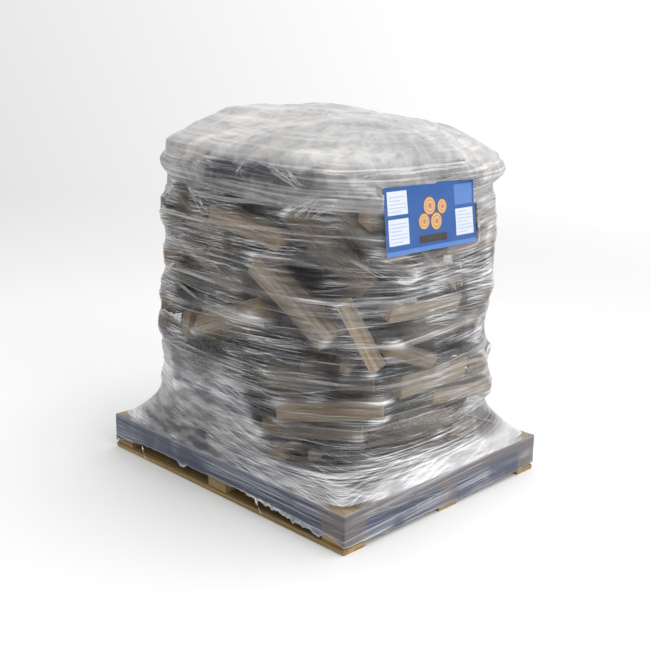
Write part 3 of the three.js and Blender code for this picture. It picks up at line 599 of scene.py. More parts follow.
write_values(offcuts, "log_at", np.array(chunk_at), "POINT")
write_values(offcuts, "log_look", np.array(chunk_look), "POINT")
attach(offcuts, "root")

# Painted shade: little light gets in between the logs, so every point's colour is darkened the deeper it
# lies behind the load's outline.
for piece in (*logs, log_heap, offcuts):
    places = np.array([vertex.co for vertex in piece.data.vertices])
    depth = np.minimum(-past_outline(places[:, :2]), LOAD_TOP - places[:, 2])
    painted_depth_shade = 1 - 0.9 * ramp(depth, 8 * MM, 70 * MM) ** 0.8
    layer = piece.data.attributes.new("painted_depth_shade", "FLOAT", "POINT")
    layer.data.foreach_set("value", painted_depth_shade.astype(np.float32))


# Label. A printed film label tucked under the outer turns on the right side: satin, slightly wavy, deep
# blue with pale panels, a dark bar and round log ends in tans. All of it is plain shapes, without
# lettering, and each printed patch lies a hair above the sheet.

def print_ink(name, code):
    """Printed film: one even ink under a satin face."""
    ink = new_material(name)
    dots = add_node(ink, "TexNoise", {"Scale": 700.0, "Detail": 1.0})
    tone = add_node(ink, "MapRange", {"Value": dots, "To Min": 0.92, "To Max": 1.06})
    colour = add_node(ink, "MixRGB",
                      {"Fac": 1.0, "Color1": linear(code), "Color2": tone}, blend_type="MULTIPLY")
    skin = add_node(ink, "BsdfPrincipled", {"Base Color": colour, "Roughness": 0.42, "IOR": 1.5})
    add_node(ink, "OutputMaterial", {"Surface": skin})
    return ink


INK_CODES = {"blue": "#004c93", "sky": "#4a78ba", "white": "#cdd3dc", "rule": "#9fb2cf", "dark": "#2a211b",
             "tan": "#b07a4a", "brown": "#754526", "cream": "#cfa878"}
INK_NAMES = list(INK_CODES)
inks = [print_ink("label_ink_" + ink, code) for ink, code in INK_CODES.items()]
LABEL_WIDTH, LABEL_HEIGHT = 430 * MM, 200 * MM
label_solid = np.array([vertex.co for vertex in nodes["label_sheet"].data.vertices])
label_middle = label_solid.mean(axis=0)
across, upward, outward = np.linalg.svd(label_solid - label_middle, full_matrices=False)[2]
across = across * np.sign(across[1])
upward = upward * np.sign(upward[2])
outward = np.cross(across, upward)
label_points, label_faces, label_inks = [], [], []


def print_patch(rows, ink, lift):
    """Rows of (across, up) places make one printed patch, which follows the sheet's waves."""
    faces = net_faces(len(label_points), len(rows), len(rows[0]), closed=False)
    for row in rows:
        for u, v in row:
            wave = 0.9 * math.sin(u * 23 + v * 9) + 0.6 * math.sin(u * 51 - v * 31 + 1)
            label_points.append(label_middle + across * u + upward * v + outward * (wave + lift) * MM)
    label_faces.extend(faces)
    label_inks.extend([INK_NAMES.index(ink)] * len(faces))


def print_box(left, low, right, high, ink, lift):
    """A rectangle in millimetres from the label's lower left corner."""
    columns = np.linspace(left, right, max(2, round((right - left) / 7) + 1)) * MM - LABEL_WIDTH / 2
    rows = np.linspace(low, high, max(2, round((high - low) / 7) + 1)) * MM - LABEL_HEIGHT / 2
    print_patch([[(u, v) for u in columns] for v in rows], ink, lift)


def print_disc(x, y, radius, ink, lift):
    """A round patch, in millimetres from the label's lower left corner."""
    turns = -np.linspace(0, 2 * math.pi, 29)
    ring = np.column_stack([np.cos(turns), np.sin(turns)]) * radius * MM
    middle = [x * MM - LABEL_WIDTH / 2, y * MM - LABEL_HEIGHT / 2]
    print_patch([middle + ring * share for share in (0.02, 0.4, 0.7, 1.0)], ink, lift)


print_box(0, 0, 430, 200, "blue", 0)
print_box(0, 0, 430, 14, "sky", 0.25)
print_box(14, 118, 104, 186, "white", 0.25)
print_box(326, 30, 416, 112, "white", 0.25)
print_box(326, 124, 416, 186, "sky", 0.25)
print_box(14, 30, 104, 106, "white", 0.25)
print_box(150, 24, 280, 46, "dark", 0.25)
for panel_left, panel_low, count in ((14, 118, 5), (326, 30, 7), (14, 30, 6)):
    for line in range(count):
        low = panel_low + 8 + line * 10.5
        print_box(panel_left + 8, low, panel_left + (82 if line % 3 else 60), low + 2.5, "rule", 0.45)
for x, y, radius in ((176, 88, 26), (232, 84, 28), (204, 132, 29), (262, 126, 24)):
    print_disc(x, y, radius, "brown", 0.3)
    print_disc(x, y, radius * 0.88, "cream", 0.45)
    print_disc(x + 1, y, radius * 0.66, "tan", 0.6)
    print_disc(x + 1, y, radius * 0.54, "cream", 0.75)
    print_disc(x + 1.5, y, radius * 0.3, "tan", 0.9)

label = new_piece("printed_label", label_points, label_faces, inks[0])
for ink in inks[1:]:
    label.data.materials.append(ink)
label.data.polygons.foreach_set("material_index", label_inks)
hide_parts("label_sheet")
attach(label, "root")


# Stretch film. Clear polyethylene 20 microns thick, pulled round the logs in many turns from the pallet's
# edge to the neck under the cover. It spans from tip to tip, is dragged flat over each log it touches, and
# fans out over the deck to the edge of the pallet.

LONG_COLUMNS, SHORT_COLUMNS = 170, 140
DECK_Z = deck_top
FOOT_Z = 215 * MM
NECK_TOP = 1044 * MM
HALF_X, HALF_Y = 0.6, 0.5
FILM_GAP = 1.6 * MM
PLEAT_HEIGHT = 1.9 * MM
OUTSIDE = 0.9

# Columns of points round the load, one for each place on the deck's edge, and their bearings
steps_x = np.linspace(-HALF_X, HALF_X, LONG_COLUMNS, endpoint=False)
steps_y = np.linspace(-HALF_Y, HALF_Y, SHORT_COLUMNS, endpoint=False)
half_rim = np.vstack([np.column_stack([steps_x, np.full(LONG_COLUMNS, -HALF_Y)]),
                      np.column_stack([np.full(SHORT_COLUMNS, HALF_X), steps_y])])
rim = np.vstack([half_rim, -half_rim])
bearing = np.unwrap(np.arctan2(rim[:, 1], rim[:, 0]))
columns = len(rim)
heading = np.column_stack([np.cos(bearing), np.sin(bearing)])
rim_radius = np.linalg.norm(rim, axis=1)
load_wood = surface_of(*logs, log_heap, offcuts, label)


def wood_reach(heights):
    """How far the logs stand out from the middle at every height and bearing."""
    reach = np.zeros((len(heights), columns))
    for k, z in enumerate(heights):
        for i in range(columns):
            ray = Vector((*heading[i], 0))
            distance = load_wood.ray_cast(ray * OUTSIDE + Vector((0, 0, z)), -ray, OUTSIDE)[3]
            if distance is not None:
                reach[k, i] = OUTSIDE - distance
    return reach


def beside(field, reducer):
    """Every value of a ring grid together with its eight neighbours, reduced by a function."""
    rows = np.pad(field, ((1, 1), (0, 0)), mode="edge")
    around = [np.roll(rows, shift, axis=1)[k:k + len(field)] for shift in (-1, 0, 1) for k in (0, 1, 2)]
    return reducer(around, axis=0)


load_radius = np.full(columns, LOAD_FLAT[0] + LOAD_CORNER)
for _ in range(12):
    load_radius -= past_outline(heading * load_radius[:, None])
FLARE_RINGS, LOAD_RINGS = 26, 128
flare_share = np.linspace(0.03, 1, FLARE_RINGS, endpoint=False)
flare_z = DECK_Z + 3 * MM + (FOOT_Z - DECK_Z - 4 * MM) * flare_share**2.4
heights = np.concatenate([flare_z, np.linspace(FOOT_Z, NECK_TOP, LOAD_RINGS)])
reach = wood_reach(heights)
least = beside(beside(beside(reach, np.max), np.max), np.mean) + FILM_GAP
fan = rim_radius + (load_radius - rim_radius) * flare_share[:, None]
least[:FLARE_RINGS] = np.maximum(least[:FLARE_RINGS], fan)

# The film pulls straight round the load, and less up and down. A straight line round it is an even change
# of one over the radius, so that is what the passes level out, wherever no log pushes the film outwards.
PULL_PASSES = 260
OVERSHOOT = 1.8
turn_next = np.roll(bearing, -1) - bearing
turn_next[-1] += 2 * math.pi
turn_last = np.roll(turn_next, 1)
up_share = (heights[1:-1] - heights[:-2]) / (heights[2:] - heights[:-2])
hoop = np.where(np.arange(len(heights)) < FLARE_RINGS, 0.4, 0.84)[:, None]
bend_limit = 1 / least
inverse = np.minimum(bend_limit, 1 / (load_radius * 0.97))
chequer = np.add.outer(np.arange(len(heights)), np.arange(columns)) % 2
for step in range(2 * PULL_PASSES):
    straight = np.sin(turn_next) * np.roll(inverse, 1, axis=1)
    straight += np.sin(turn_last) * np.roll(inverse, -1, axis=1)
    straight /= np.sin(turn_next + turn_last)
    level = inverse.copy()
    level[1:-1] = inverse[:-2] + (inverse[2:] - inverse[:-2]) * up_share[:, None]
    level[-1] = inverse[-2]
    level[0] = bend_limit[0]
    pulled = inverse + OVERSHOOT * (hoop * straight + (1 - hoop) * level - inverse)
    inverse = np.where(chequer == step % 2, np.minimum(pulled, bend_limit), inverse)
radius = 1 / inverse


def ring_normals(rings):
    """The way out of the film at every point of its rings."""
    around = np.roll(rings, -1, axis=1) - np.roll(rings, 1, axis=1)
    normal = np.cross(around, np.gradient(rings, axis=0))
    return normal / np.maximum(np.linalg.norm(normal, axis=2), 1e-9)[..., None]


# Small pleats run round the load, highest where the film hangs free
rings = np.stack([np.column_stack([heading * ring[:, None], np.full(columns, z)])
                  for ring, z in zip(radius, heights)])
edge_ring = np.column_stack([rim * 1.0006, np.full(columns, DECK_Z + 2.2 * MM)])
rings = np.concatenate([edge_ring[None], rings])
normal = ring_normals(rings)
path = np.concatenate([[0], np.cumsum(np.linalg.norm(np.diff(rings, axis=0), axis=2).mean(axis=1))])
gap = np.vstack([np.full(columns, 0.01), np.where(reach > 0, radius - beside(reach, np.mean), 0.09)])
gap = np.clip(gap, 0, 0.09)
hollow = beside(ramp(gap, 4 * MM, 44 * MM) ** 0.7, np.mean)
film_at = np.dstack([rings[..., 0], rings[..., 1], np.repeat(path[:, None], columns, axis=1)])
flat_at = film_at.reshape(-1, 3)
lean = np.column_stack([flat_at[:, 0] * 0.07, flat_at[:, 1] * 0.07, flat_at[:, 2] + 0.1 * flat_at[:, 0]])
pleats = 0.5 - abs(wobble(lean, 0.083, 41, 2)) + 0.4 * wobble(lean, 0.026, 42, 1)
slack = np.clip(gap / (18 * MM), 0.15, 1)
lift = PLEAT_HEIGHT * pleats.reshape(gap.shape) * slack
points = rings + normal * np.maximum(lift, -0.6 * FILM_GAP)[..., None]

# Where the film is white: along the ridges over log tips, on the gathered flare, and where most turns lie,
# which is on the right side round the label and above it. A turn of 0 is the middle of that side, and
# -pi / 2 is the middle of the left one.
ridge = np.zeros_like(gap)
standing = np.linalg.norm(rings[..., :2], axis=2)
ridge[3:-3] = standing[3:-3] - (standing[:-6] + standing[6:]) / 2
ridge[:FLARE_RINGS + 3] = 0
crest = beside(ramp(ridge, 0, 6.5 * MM) ** 1.3, np.mean)
turned = np.arctan2(rim[:, 1], rim[:, 0])
low_turns = 1 + 0.9 * ramp(turned, -1.05, -1.35)
gathered = np.clip(1.5 * low_turns - (rings[..., 2] - DECK_Z) / (76 * MM) / low_turns, 0, 1)
# The flare is least white on the left, where its painted shade and painted reflection show most
flare_white = 0.12 + 0.08 * ramp(turned, -1.3, -0.8) + 0.21 * ramp(turned, -0.6, -0.3)
flare_white += 0.16 * ramp(turned, -2.1, -2.35)
patchy = wobble(flat_at * [1, 1, 3], 0.16, 45).reshape(gap.shape)
crest = np.maximum(crest, gathered * (flare_white + 0.12 * patchy))
many_turns = ramp(rings[..., 2] / MM + 45 * patchy, 830, 950)
many_turns *= ramp(turned, -0.85, -0.55) * ramp(turned, 1.5, 1.1)
crest = np.maximum(crest, many_turns * (0.4 + 0.14 * patchy))
at_ends = np.maximum(ramp(turned, -0.5, -0.2), ramp(turned, -1.95, -2.25))
crest = np.maximum(crest, (1 - gathered) * at_ends * (0.2 + 0.12 * patchy))

# Stretch-wrap film: clear and bluish, with a satin gloss. Where it is pulled it goes milky in fine lines
# along its length; where several turns lie over a gap it is a dark blue-grey haze, painted shade of the
# hollow behind it with a painted reflection of dark surroundings, and at a slant one looks through more of
# it. The lines are under 1 mm wide, drawn at 2 to 4 mm so that they show.

def film_streaks(material, place, tilt, across, along, detail=2.0):
    """Noise drawn out along the film: so many waves to the metre across it and along it, at a tilt."""
    x, y, s = add_node(material, "SeparateXYZ", {"Vector": place}).outputs
    slope = add_node(material, "Math", {0: x, 1: tilt[0], 2: s}, operation="MULTIPLY_ADD")
    slope = add_node(material, "Math", {0: y, 1: tilt[1], 2: slope}, operation="MULTIPLY_ADD")
    spot = add_node(material, "CombineXYZ", {"X": x, "Y": y, "Z": slope})
    spot = add_node(material, "Mapping", {"Vector": spot, "Scale": (along, along, across)})
    return add_node(material, "TexNoise",
                    {"Vector": spot, "Scale": 1.0, "Detail": detail, "Roughness": 0.55})


def thin_lines(material, noise, width):
    """White where the noise crosses its middle, which it does along thin lines."""
    off = add_node(material, "Math", {0: noise, 1: 0.5}, operation="SUBTRACT")
    off = add_node(material, "Math", {0: off}, operation="ABSOLUTE")
    return add_node(material, "MapRange",
                    {"Value": off, "From Min": 0.0, "From Max": width, "To Min": 1.0, "To Max": 0.0})


def stretch_wrap(name, pale, shade, on_wood, shade_over_hollow, slackness=1.0):
    """Film with its colour on wood and its painted shade over a hollow, where it isn't milky, how much it
    hides
    of both, and how slack it lies: its lines waver and stand out less where it is tight."""
    wrap = new_material(name)
    at = add_node(wrap, "Attribute", attribute_name="film_at").outputs["Vector"]
    look = add_node(wrap, "Attribute", attribute_name="film_look").outputs
    over_gap, on_crest, is_clear = add_node(wrap, "SeparateColor", {"Color": look["Color"]}).outputs
    gathered = look["Alpha"]
    on_flare = add_node(wrap, "Math", {0: gathered, 1: 0.75}, operation="MULTIPLY")
    hair = film_streaks(wrap, at, (0.03, -0.05), 140, 1.6 * slackness)
    hair = add_node(wrap, "MapRange", {"Value": hair, "From Min": 0.53, "From Max": 0.58})
    finer = film_streaks(wrap, at, (-0.06, 0.04), 210, 2.4 * slackness)
    finer = add_node(wrap, "MapRange", {"Value": finer, "From Min": 0.53, "From Max": 0.58})
    fine = film_streaks(wrap, at, (0.02, -0.03), 80, 1.2 * slackness)
    cross = film_streaks(wrap, at, (-0.16, 0.1), 46, 1.5 * slackness)
    steep = film_streaks(wrap, at, (0.24, 0.2), 24, 2.0 * slackness)
    broad = film_streaks(wrap, at, (0.06, 0.1), 24, 1.3 * slackness, 3.0)
    fanned = film_streaks(wrap, at, (0.28, -0.3), 95, 1.6)
    fanned = add_node(wrap, "Math",
                      {0: thin_lines(wrap, fanned, 0.035), 1: on_flare}, operation="MULTIPLY")
    off_flare = add_node(wrap, "MapRange", {"Value": gathered, "To Min": 1.0, "To Max": 0.45})
    where = add_node(wrap, "TexNoise", {"Vector": at, "Scale": 5.0, "Detail": 2.0})
    in_patch = add_node(wrap, "MapRange",
                        {"Value": where, "From Min": 0.42, "From Max": 0.58, "To Min": 0.12})
    lines = thin_lines(wrap, fine, 0.045)
    for noise, width in ((cross, 0.03), (steep, 0.018)):
        crossing = thin_lines(wrap, noise, width * slackness)
        lines = add_node(wrap, "Math", {0: crossing, 1: lines}, operation="MAXIMUM")
    for noise, share in ((hair, 0.8), (finer, 0.55)):
        lines = add_node(wrap, "Math", {0: noise, 1: share, 2: lines}, operation="MULTIPLY_ADD")
    lines = add_node(wrap, "Math", {0: lines, 1: off_flare, 2: fanned}, operation="MULTIPLY_ADD")
    lines = add_node(wrap, "Math", {0: lines, 1: in_patch}, operation="MULTIPLY")
    band = add_node(wrap, "MapRange",
                    {"Value": broad, "From Min": 0.54, "From Max": 0.76, "To Max": 0.3 * slackness})
    band = add_node(wrap, "Math", {0: band, 1: off_flare}, operation="MULTIPLY")
    combed = add_node(wrap, "MapRange", {"Value": hair, "To Min": 0.6, "To Max": 1.0})
    combed = add_node(wrap, "Math", {0: gathered, 1: combed}, operation="MAXIMUM")
    crest_white = add_node(wrap, "Math", {0: on_crest, 1: combed}, operation="MULTIPLY")
    drawn = add_node(wrap, "MapRange",
                     {"Value": over_gap, "To Min": 0.17, "To Max": 0.14 + 0.28 * slackness})
    drawn = add_node(wrap, "Math", {0: gathered, 1: 0.14, 2: drawn}, operation="MULTIPLY_ADD")
    milky = add_node(wrap, "Math", {0: lines, 1: drawn, 2: band}, operation="MULTIPLY_ADD")
    milky = add_node(wrap, "Math", {0: milky, 1: crest_white}, operation="ADD", use_clamp=True)
    haze = add_node(wrap, "MapRange", {"Value": over_gap, "To Min": on_wood, "To Max": shade_over_hollow})
    haze = add_node(wrap, "Math", {0: on_flare, 1: 0.42, 2: haze}, operation="MULTIPLY_ADD")
    cover = add_node(wrap, "Math", {0: milky, 1: 0.78, 2: haze}, operation="MULTIPLY_ADD")
    cover = add_node(wrap, "Math", {0: cover, 1: 0.97}, operation="MINIMUM")
    slant = add_node(wrap, "LayerWeight", {"Blend": 0.5}).outputs["Facing"]
    slant = add_node(wrap, "Math", {0: 1.15, 1: slant}, operation="SUBTRACT")
    slant = add_node(wrap, "Math", {0: 1.0, 1: slant}, operation="DIVIDE")
    through = add_node(wrap, "Math", {0: 1.0, 1: cover}, operation="SUBTRACT")
    through = add_node(wrap, "Math", {0: through, 1: slant}, operation="POWER")
    cover = add_node(wrap, "Math", {0: 1.0, 1: through}, operation="SUBTRACT")
    seen = add_node(wrap, "Math", {0: 1.0, 1: is_clear}, operation="SUBTRACT")
    cover = add_node(wrap, "Math", {0: cover, 1: seen}, operation="MULTIPLY", use_clamp=True)
    # Over a gap the film takes its shade colour, painted shade of the hollow behind it
    tint = add_node(wrap, "MixRGB", {"Fac": over_gap, "Color1": linear(pale), "Color2": linear(shade)})
    # On the flare it is pale where white and dark blue-grey elsewhere: painted shade of the gap behind it
    # with a painted reflection of dark surroundings
    whiter_on_flare = add_node(wrap, "MapRange", {"Value": on_crest, "From Min": 0.08, "From Max": 0.26})
    flare_painted_shade_to_white = add_node(wrap, "MixRGB",
                       {"Fac": whiter_on_flare, "Color1": linear("#4b5262"), "Color2": linear("#b3b0b1")})
    tint = add_node(wrap, "MixRGB", {"Fac": on_flare, "Color1": tint, "Color2": flare_painted_shade_to_white})
    tint = add_node(wrap, "MixRGB", {"Fac": milky, "Color1": tint, "Color2": linear("#f0f1f3")})
    relief = add_node(wrap, "Math", {0: fine, 1: broad}, operation="ADD")
    bump = add_node(wrap, "Bump",
                    {"Strength": 0.2 + 0.3 * slackness, "Distance": 0.003, "Height": relief})
    skin = add_node(wrap, "BsdfPrincipled", {"Base Color": tint, "Roughness": 0.46 - 0.16 * slackness,
                                             "IOR": 1.5, "Alpha": cover, "Normal": bump})
    add_node(wrap, "OutputMaterial", {"Surface": skin})
    return wrap


# Its dark colour over the gaps, #28303e, is painted shade with a painted reflection of dark surroundings
load_wrap = stretch_wrap("stretch_wrap_film", "#b1aba4", "#28303e", 0.05, 0.07)


def over_label(places):
    """How far each place of the film lies over the label, from 0 to 1."""
    from_label = places - label_middle
    past_x, past_z = abs(from_label @ across) - LABEL_WIDTH / 2, abs(from_label @ upward) - LABEL_HEIGHT / 2
    return np.clip(1 - np.maximum(past_x, past_z) / (12 * MM), 0, 1) * (abs(from_label @ outward) < 0.08)


# The film is clearest where it lies on the label, and on the corners of the deck
deck_corner = np.clip(1 - np.linalg.norm(abs(points[..., :2]) - [HALF_X, HALF_Y], axis=2) / 0.13, 0, 1)
deck_corner *= abs(points[..., 2] - DECK_Z) < 12 * MM
clear = np.maximum(np.clip(deck_corner * 1.5, 0, 0.8), 0.96 * over_label(points))

film = new_piece("stretch_film_wound", points.reshape(-1, 3), net_faces(0, len(rings), columns), load_wrap)
write_values(film, "film_at", flat_at, "POINT")
write_values(film, "film_look", np.dstack([hollow, crest, clear, gathered]).reshape(-1, 4), "POINT")
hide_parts("stretch_film")
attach(film, "root")

# The last turns cross the others at a slant, a hair's breadth further out. Their edges are drawn together
# into cords that show as white lines.
TURN_ROWS = 9
# Height at the start and the end of each turn and its width, in millimetres; the narrow ones are cords
TURNS = [(250, 330, 120), (330, 250, 90), (420, 520, 150), (560, 470, 110), (640, 740, 130),
         (800, 700, 150), (860, 930, 100), (960, 880, 90), (300, 430, 60), (520, 620, 70), (700, 610, 46),
         (900, 820, 60), (372, 408, 14), (476, 452, 12), (590, 640, 16), (765, 724, 12), (985, 1012, 14),
         (905, 948, 10)]
CORD_WIDTH = 30
turn_points, turn_at, turn_look, turn_faces = [], [], [], []
final_radius = np.linalg.norm(points[1:, :, :2], axis=2)
for number, (first_z, last_z, width) in enumerate(TURNS):
    start = len(turn_points)
    every = (np.arange(0, columns + 1, 2) + 97 * number) % columns
    share = np.linspace(0, 1, len(every))
    flat_turn = np.column_stack([rim[every], np.full(len(every), number)])
    middle_z = first_z + (last_z - first_z) * share + 9 * wobble(flat_turn, 0.5, 70 + number, 2)
    half = width / 2 * (1 + 0.25 * wobble(flat_turn, 0.8, 90 + number, 1))
    strength = np.clip(0.42 + 0.5 * wobble(flat_turn, 0.4, 110 + number, 2), 0.05, 0.9)
    for k, across_share in enumerate(np.cos(np.linspace(math.pi, 0, TURN_ROWS))):
        z = (middle_z + half * across_share) * MM
        column = [np.interp(height, heights, final_radius[:, i]) for height, i in zip(z, every)]
        out = np.array(column) + (0.9 + 0.15 * number) * MM
        places = np.column_stack([heading[every] * out[:, None], z])
        turn_points += places.tolist()
        white = 1.0 if k in (0, TURN_ROWS - 1) else 0.7 * (width < CORD_WIDTH)
        clear_turn = np.maximum(0.6 * (1 - white), over_label(places))
        turn_look += np.column_stack([0 * z, white * strength, clear_turn, 0 * z]).tolist()
        turn_at += np.column_stack([rim[every], z + number * 0.31]).tolist()
    turn_faces += net_faces(start, TURN_ROWS, len(every), closed=False)
last_turns = new_piece("last_film_turns", turn_points, turn_faces, load_wrap)
write_values(last_turns, "film_at", np.array(turn_at), "POINT")
write_values(last_turns, "film_look", np.array(turn_look), "POINT")
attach(last_turns, "root")

# Skirt of the same film, drawn down over the deck's edge and in under it by its own pull. The hem was cut
# with a knife: it hangs near the floor on the short sides, and is higher and ragged on the long ones.
SKIRT_RINGS = 22
SKIRT_OUT = 1.9 * MM
BLOCK_X, BLOCK_Y, BLOCK_HALF, BLOCK_TOP = 549 * MM, 449 * MM, 46 * MM, 94 * MM
rim_x, rim_y = rim.T
along_x = np.where(abs(rim_y) > HALF_Y - MM, HALF_X - abs(rim_x), 0)
along_y = np.where(abs(rim_x) > HALF_X - MM, HALF_Y - abs(rim_y), 0)
hem_at = np.column_stack([rim, np.zeros(columns)])
long_hem = 24 + 33 * (1 - np.exp(-along_x / 0.07)) + 3.5 * wobble(hem_at, 0.21, 31)
long_hem += 1.8 * wobble(hem_at, 0.04, 32)
short_hem = 24 - 8 * (1 - np.exp(-along_y / 0.1)) + 2 * wobble(hem_at, 0.3, 33) + wobble(hem_at, 0.05, 34)
# On the left side the knife slipped: a flap hangs there, and the last stretch is torn into teeth
on_left = rim_y < -HALF_Y + MM
in_flap = on_left * np.clip(1.6 - abs(rim_x + 0.186) / 0.02, 0, 1)
in_teeth = on_left * ramp(rim_x, 0.1, 0.22) * ramp(rim_x, 0.53, 0.5)
tooth = abs(wobble(hem_at, 0.05, 35)) + 0.8 * abs(wobble(hem_at, 0.017, 36))
long_hem -= 14 * in_flap + in_teeth * (11 * tooth + 20 * ramp(rim_x, 0.28, 0.48))
hem = np.where(along_y > 0, short_hem, long_hem) * MM
side = np.column_stack([np.sign(rim_x) * (along_x < 4 * MM), np.sign(rim_y) * (along_y < 4 * MM)])
side /= np.maximum(np.linalg.norm(side, axis=1), 1e-6)[:, None]
skirt_rings = []
for share in np.linspace(0, 1, SKIRT_RINGS):
    out = SKIRT_OUT - 1.1 * MM * math.sin(math.pi * share)
    z = hem + (DECK_Z + 2.2 * MM - hem) * share
    skirt_rings.append(np.column_stack([rim + side * out * (1 - share**8), z]))
skirt_rings = np.array(skirt_rings)
skirt_at = skirt_rings.reshape(-1, 3)
skirt_lean = skirt_at * [0.08, 0.08, 1]
skirt_lean[:, 2] += 0.03 * skirt_at[:, 0]
skirt_lift = 0.35 * MM * wobble(skirt_lean, 0.02, 43, 2).reshape(skirt_rings.shape[:2])
skirt_points = skirt_rings + ring_normals(skirt_rings) * skirt_lift[..., None]
# Between the blocks the dark fork ways show through, partly as painted shade on the film, and the whole
# left side is painted in shade as well
from_block_x = np.minimum(abs(abs(rim_x) - BLOCK_X), abs(rim_x)) - BLOCK_HALF
from_block_y = np.minimum(abs(abs(rim_y) - BLOCK_Y), abs(rim_y)) - BLOCK_HALF
between_blocks = np.clip(np.where(along_y > 0, from_block_y, from_block_x) / (8 * MM) + 0.5, 0, 1)
skirt_z = skirt_rings[..., 2]
opening_and_painted_shade = 0.15 + 0.85 * between_blocks * ramp(skirt_z, BLOCK_TOP, BLOCK_TOP - 6 * MM)
opening_and_painted_shade = np.maximum(opening_and_painted_shade, 0.95 * on_left * ramp(rim_x, 0.5, 0.47))
near_edge = 0.3 * ramp(skirt_z, DECK_Z - 9 * MM, DECK_Z)
near_hem = 0.4 * ramp(skirt_z - hem, 4 * MM, 0)
torn_edge = ramp(skirt_z - hem, 13 * MM, 0) * np.maximum(in_flap, 0.7 * in_teeth)
in_light = 0.01 + 0.04 * ramp(turned, -0.7, -0.65)
skirt_white = np.maximum(np.max([near_edge, near_hem, torn_edge], axis=0), in_light)
skirt_look = np.dstack([opening_and_painted_shade, skirt_white, *np.zeros((2, *skirt_white.shape))])
# Its dark colour over the openings and on the left, #323c56, is painted shade
skirt_wrap = stretch_wrap("stretch_wrap_film_doubled", "#6c666d", "#323c56", 0.5, 0.78, 0.3)

# Two strips torn off the hem hang over the bottom board, twisted and white. Each runs from a top to an
# end, and both their heights and the greatest half width are in millimetres.
STRIP_STEPS = 14
strip_points, strip_faces = [], []
for top_x, top_z, end_x, end_z, broadest in [(-0.421, 54, -0.403, 11, 5.5), (0.211, 58, 0.241, 13, 7)]:
    start = len(skirt_at) + len(strip_points)
    for share in np.linspace(0, 1, STRIP_STEPS):
        middle = np.array([top_x + (end_x - top_x) * share**1.3, -HALF_Y - 7 * MM,
                           (top_z + (end_z - top_z) * share) * MM])
        half = broadest * MM * (0.3 + 0.7 * math.sin(math.pi * min(share * 1.25, 1)) ** 2)
        twist = 0.5 + 3.0 * share
        across_strip = np.array([math.cos(twist), 0.5 * math.sin(twist), 0.35 * math.cos(twist)])
        strip_points += [middle - across_strip * half, middle + across_strip * half]
    strip_faces += net_faces(start, STRIP_STEPS, 2, closed=False)
strip_look = np.tile([0.0, 0.9, 0.0, 0.0], (len(strip_points), 1))
skirt = new_piece("film_skirt_wound", np.vstack([skirt_points.reshape(-1, 3), strip_points]),
                  net_faces(0, SKIRT_RINGS, columns) + strip_faces, skirt_wrap)
write_values(skirt, "film_at", np.vstack([skirt_at, strip_points]), "POINT")
write_values(skirt, "film_look", np.vstack([skirt_look.reshape(-1, 4), strip_look]), "POINT")
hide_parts("film_skirt")
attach(skirt, "root")


# Cover. A sheet of milky polyethylene laid over the heap before the last turns: crumpled on top, hanging a
# little over the shoulder, and gathered in at the neck, where the stretch film holds its hem. It passes
# behind the label.

HEM_Z = 1002 * MM
SHOULDER_Z = 1124 * MM
UNDER_FILM = 1.4 * MM
CELL = 8 * MM
ABOVE = 1.5
DRAPE_PASSES, SOFTEN_PASSES = 80, 3
BROAD_FACET, SMALL_FACET = 240 * MM, 75 * MM
grid_x = np.arange(-0.6, 0.601, CELL)
grid_y = np.arange(-0.54, 0.541, CELL)
heap_top = np.full((len(grid_x), len(grid_y)), DECK_Z)
draped = np.full((len(grid_x), len(grid_y)), SHOULDER_Z)
cover_solid = surface_of(nodes["top_sheet"])
for a, x in enumerate(grid_x):
    for b, y in enumerate(grid_y):
        for surface, field in ((load_wood, heap_top), (cover_solid, draped)):
            drop = surface.ray_cast(Vector((x, y, ABOVE)), Vector((0, 0, -1)), 1.0)[3]
            if drop is not None:
                field[a, b] = ABOVE - drop
outside = past_outline(np.stack(np.meshgrid(grid_x, grid_y, indexing="ij"), axis=2))
inside = outside < -10 * MM
for _ in range(2):
    heap_top = np.max([np.roll(heap_top, (a, b), (0, 1)) for a in (-1, 0, 1) for b in (-1, 0, 1)], axis=0)
sag = np.clip(-outside / 0.15, 0, 1) * 15 * MM
floor_z = np.where(inside, np.maximum(heap_top + 3 * MM, draped - sag), SHOULDER_Z)
# The sheet pulls itself level between whatever holds it up: the logs, and its own stiffness
padded = np.where(inside, np.maximum(draped, floor_z), SHOULDER_Z)
for step in range(DRAPE_PASSES + SOFTEN_PASSES):
    level = sum(np.roll(padded, shift, axis) for axis in (0, 1) for shift in (1, -1)) / 4
    held_up = floor_z if step < DRAPE_PASSES else heap_top + 2 * MM
    padded = np.where(inside, np.maximum(level, held_up), SHOULDER_Z)


def cover_height(places):
    """Height of the draped cover at each (x, y), between the cells of its grid."""
    a = np.clip((places[:, 0] - grid_x[0]) / CELL, 0, len(grid_x) - 1.001)
    b = np.clip((places[:, 1] - grid_y[0]) / CELL, 0, len(grid_y) - 1.001)
    i, j = a.astype(int), b.astype(int)
    s, t = a - i, b - j
    low = padded[i, j] * (1 - s) + padded[i + 1, j] * s
    high = padded[i, j + 1] * (1 - s) + padded[i + 1, j + 1] * s
    return low * (1 - t) + high * t


